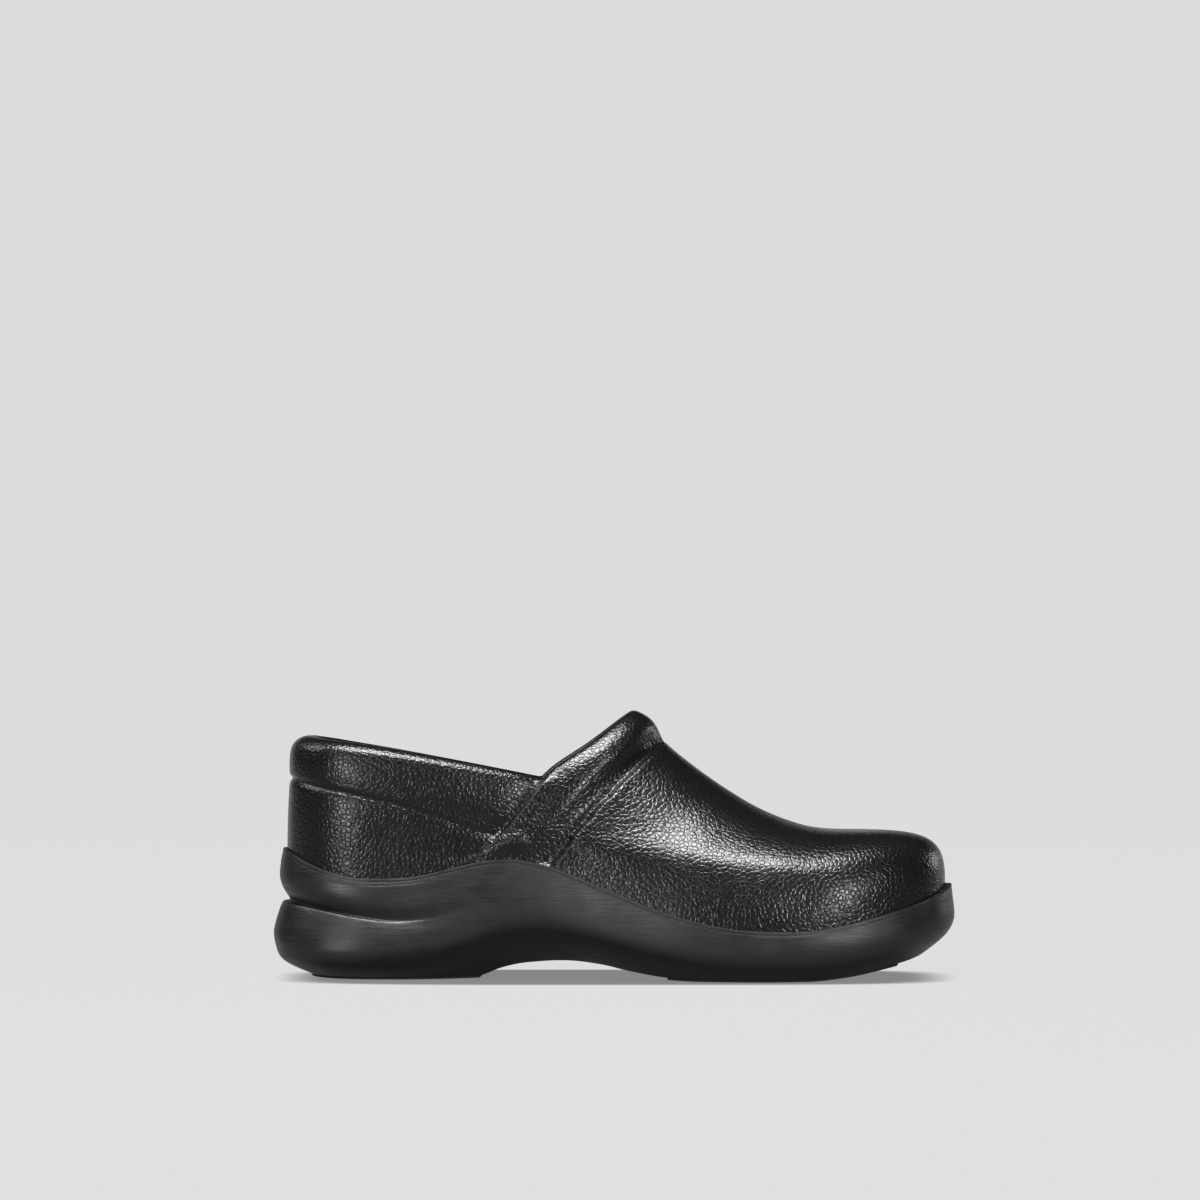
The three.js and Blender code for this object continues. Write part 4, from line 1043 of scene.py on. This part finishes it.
def bowed_bar(width, top):
    across = rib_math("MULTIPLY", rib_input["Half Width"], BAR_SPREAD)
    size = rib_node("ShaderNodeCombineXYZ", {"X": width, "Y": across, "Z": BAR_HEIGHT * MM})[0]
    block = rib_node("GeometryNodeMeshCube", {"Size": size, "Vertices Y": BAR_POINTS})["Mesh"]
    y = rib_node("ShaderNodeSeparateXYZ", {0: rib_node("GeometryNodeInputPosition")[0]})["Y"]
    share = rib_math("DIVIDE", y, rib_input["Half Width"])
    from_edge = rib_math("SUBTRACT", 1, rib_math("MULTIPLY", share, share))
    bow = rib_math("MULTIPLY", rib_input["Sweep"], from_edge)
    lift = rib_math("SUBTRACT", top, BAR_HEIGHT * MM / 2)
    offset = rib_node("ShaderNodeCombineXYZ", {"X": bow, "Z": lift})[0]
    return rib_node("GeometryNodeSetPosition", {"Geometry": block, "Offset": offset})[0]


def moved_along(geometry, distance):
    place = rib_node("ShaderNodeCombineXYZ", {"X": distance})[0]
    return rib_node("GeometryNodeTransform", {"Geometry": geometry, "Translation": place})[0]


def shared_by(geometry, other):
    both = rib_node("GeometryNodeMeshBoolean", {"Mesh 2": geometry},
                    operation="INTERSECT", solver="MANIFOLD")[0]
    rib_tree.links.new(other, both.node.inputs["Mesh 2"])
    return both


print("inputs", *(item.name for item in rib_tree.interface.items_tree if item.in_out == "INPUT"), sep=", ")

# %% Ribbed slab tree
stretch_middle = rib_math("ADD", rib_input["Start"], rib_math("MULTIPLY", rib_input["Length"], 0.5))
stretch_bar = moved_along(bowed_bar(rib_input["Length"], BAR_HEIGHT * MM / 2), stretch_middle)
trimmed = shared_by(rib_input["Geometry"], stretch_bar)
step_along = rib_node("ShaderNodeCombineXYZ", {"X": rib_input["Pitch"]})[0]
first_groove = rib_math("ADD", rib_input["Start"], rib_input["Pitch"])
first_place = rib_node("ShaderNodeCombineXYZ", {"X": first_groove})[0]
row_of_places = rib_node("GeometryNodeMeshLine", {
    "Count": rib_input["Grooves"], "Start Location": first_place, "Offset": step_along})[0]
groove_bars = rib_node("GeometryNodeInstanceOnPoints", {
    "Points": row_of_places, "Instance": bowed_bar(rib_input["Groove Width"], rib_input["Groove Top"])})[0]
inset = rib_node("ShaderNodeCombineXYZ", {"X": 1, "Y": rib_input["Groove Reach"], "Z": BAR_HEIGHT})[0]
within = rib_node("GeometryNodeTransform", {"Geometry": rib_input["Geometry"], "Scale": inset})[0]
whole_bars = rib_node("GeometryNodeRealizeInstances", {"Geometry": groove_bars})[0]
ribbed = rib_node("GeometryNodeMeshBoolean", {"Mesh 1": trimmed, "Mesh 2": shared_by(within, whole_bars)},
                  operation="DIFFERENCE", solver="MANIFOLD")[0]
whole = rib_node("GeometryNodeRealizeInstances", {"Geometry": ribbed})[0]
finished = rib_node("GeometryNodeSetMaterial", {"Geometry": whole, "Material": rib_input["Finish"]})[0]
rib_tree.links.new(finished, rib_tree.nodes.new("NodeGroupOutput").inputs["Geometry"])
print("tree", len(rib_tree.nodes), "nodes")

# %% [markdown]
# ## Pockets first, ribs after
# The same tree without grooves gives the slab that carves each pocket out of the sole, so tread and pocket
# always fit with the same gap. Only the modifier's inputs differ. Its result is turned into a plain mesh, and
# then each point is raised by the height of the sole's bottom under it.

# %% Ribbed slab
SLAB_LINES = 5


def slab_sections(inset, low, high):
    out = side_value("base", stations) * SOLE_FLARE - TREAD_INSET - inset
    shares = np.linspace(1, 0, SLAB_LINES)
    upper_lines = [towards_middle(stations, out, share, lambda x: 0 * x + high) for share in shares]
    lower_lines = [towards_middle(stations, out, share, lambda x: 0 * x + low) for share in shares[::-1]]
    return upper_lines + lower_lines


def ribbed_slab(name, stretch, grow, low, high, finish, grooved=True):
    slab = loop_mesh(name, slab_sections(-grow, low, high))
    length = (stretch[1] - stretch[0]) * LENGTH
    ribs = round(length / LUG_PITCH)
    sizes = {
        "Start": (along_x(stretch[0]) - LUG_SWEEP - grow) * MM, "Length": (length + 2 * grow) * MM,
        "Half Width": HALF_BALL * MM, "Sweep": LUG_SWEEP * MM, "Grooves": ribs - 1 if grooved else 0,
        "Pitch": length / ribs * MM, "Groove Width": GROOVE_WIDTH * MM,
        "Groove Top": (low + GROOVE_DEPTH) * MM, "Groove Reach": GROOVE_REACH, "Finish": finish,
    }
    modifier = slab.modifiers.new("ribs", "NODES")
    modifier.node_group = rib_tree
    for item in rib_tree.interface.items_tree:
        if item.in_out == "INPUT" and item.name in sizes:
            modifier[item.identifier] = sizes[item.name]
    evaluated = slab.evaluated_get(bpy.context.evaluated_depsgraph_get())
    flat = slab.data
    slab.data = bpy.data.meshes.new_from_object(evaluated)
    slab.modifiers.remove(modifier)
    bpy.data.meshes.remove(flat)
    points = np.empty(len(slab.data.vertices) * 3)
    slab.data.vertices.foreach_get("co", points)
    points = points.reshape(-1, 3)
    points[:, 2] += bottom_z(points[:, 0] / MM) * MM
    slab.data.vertices.foreach_set("co", points.ravel())
    slab.data.update()
    return slab


# %% Treads and their pockets
HEEL_TREAD, FRONT_TREAD = (0.042, 0.308), (0.585, 0.915)
TREAD_SHARP, SOLE_SHARP = 30, 40


def open_edges(obj):
    counts = {}
    for polygon in obj.data.polygons:
        for key in polygon.edge_keys:
            counts[key] = counts.get(key, 0) + 1
    return sum(1 for count in counts.values() if count != 2)


treads = {}
for name, stretch in (("heel_tread", HEEL_TREAD), ("forefoot_tread", FRONT_TREAD)):
    pocket = ribbed_slab(
        name + "_pocket", stretch, 0, -2 * TREAD_PROUD, TREAD_BED, sole_finish, grooved=False)
    cut = sole.modifiers.new("pocket", "BOOLEAN")
    cut.object, cut.operation, cut.solver = pocket, "DIFFERENCE", "MANIFOLD"
    carved = bpy.data.meshes.new_from_object(sole.evaluated_get(bpy.context.evaluated_depsgraph_get()))
    sole.modifiers.remove(cut)
    sole.data = carved
    bpy.data.objects.remove(pocket)
    treads[name] = ribbed_slab(name + "_ribs", stretch, -GAP, -TREAD_PROUD, TREAD_BED - GAP, tread_finish)
    treads[name].data.set_sharp_from_angle(angle=math.radians(TREAD_SHARP))
    print(name, len(treads[name].data.vertices), "points, open edges", open_edges(treads[name]))
shade_smooth(sole)
sole.data.set_sharp_from_angle(angle=math.radians(SOLE_SHARP))
print("sole open edges", open_edges(sole), "upper", open_edges(upper))

# %% [markdown]
# ## The insole
# The loose footbed is a thin slab that follows the cup's floor, turned up a little at its edge, with a soft
# corner.

# %% Insole
INSOLE, INSOLE_GAP, INSOLE_CUP, CUP_SHARES = 4, 0.5, 1.5, (0.6, 1)
CORNER, CORNER_STEP, EDGE_SHARES = INSOLE / 3, 15, np.linspace(1, 0.06, 16)


def insole_line(inset, share, lift, cup=0.0):
    out = -WALL - INSOLE_GAP - inset
    return towards_middle(stations, out, share, lambda x: bed_z(x) + GAP + lift + cup)


insole_sections = [insole_line(CORNER, share, INSOLE, INSOLE_CUP * ease(1 - share, *CUP_SHARES))
                   for share in EDGE_SHARES]
for angle in np.radians(np.arange(90, -1, -CORNER_STEP)):
    inset, lift = CORNER * (1 - math.cos(angle)), INSOLE - CORNER + CORNER * math.sin(angle)
    insole_sections.append(insole_line(inset, 0, lift, INSOLE_CUP))
insole_sections += [insole_line(0, 0, INSOLE / 2), insole_line(0, 0, 0)]
insole_sections += [insole_line(0, share, 0) for share in (0.5, 1)]
insole = loop_mesh("insole_bed", insole_sections)
insole.data.materials.append(insole_finish)
print("insole", len(insole.data.vertices), "points")

# %% [markdown]
# ## Pieces on the frame
# Each fine piece rides on the shoe's one body and takes the place of its plain solid, which is hidden.

# %% Attach each piece and hide its plain solid
for piece, node, slot in (
    (upper, "upper", "upper"), (sole, "sole", "sole"), (insole, "insole", "insole"),
    (treads["heel_tread"], "heel_tread", "tread"), (treads["forefoot_tread"], "forefoot_tread", "tread"),
):
    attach(piece, "root")
    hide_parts(node)
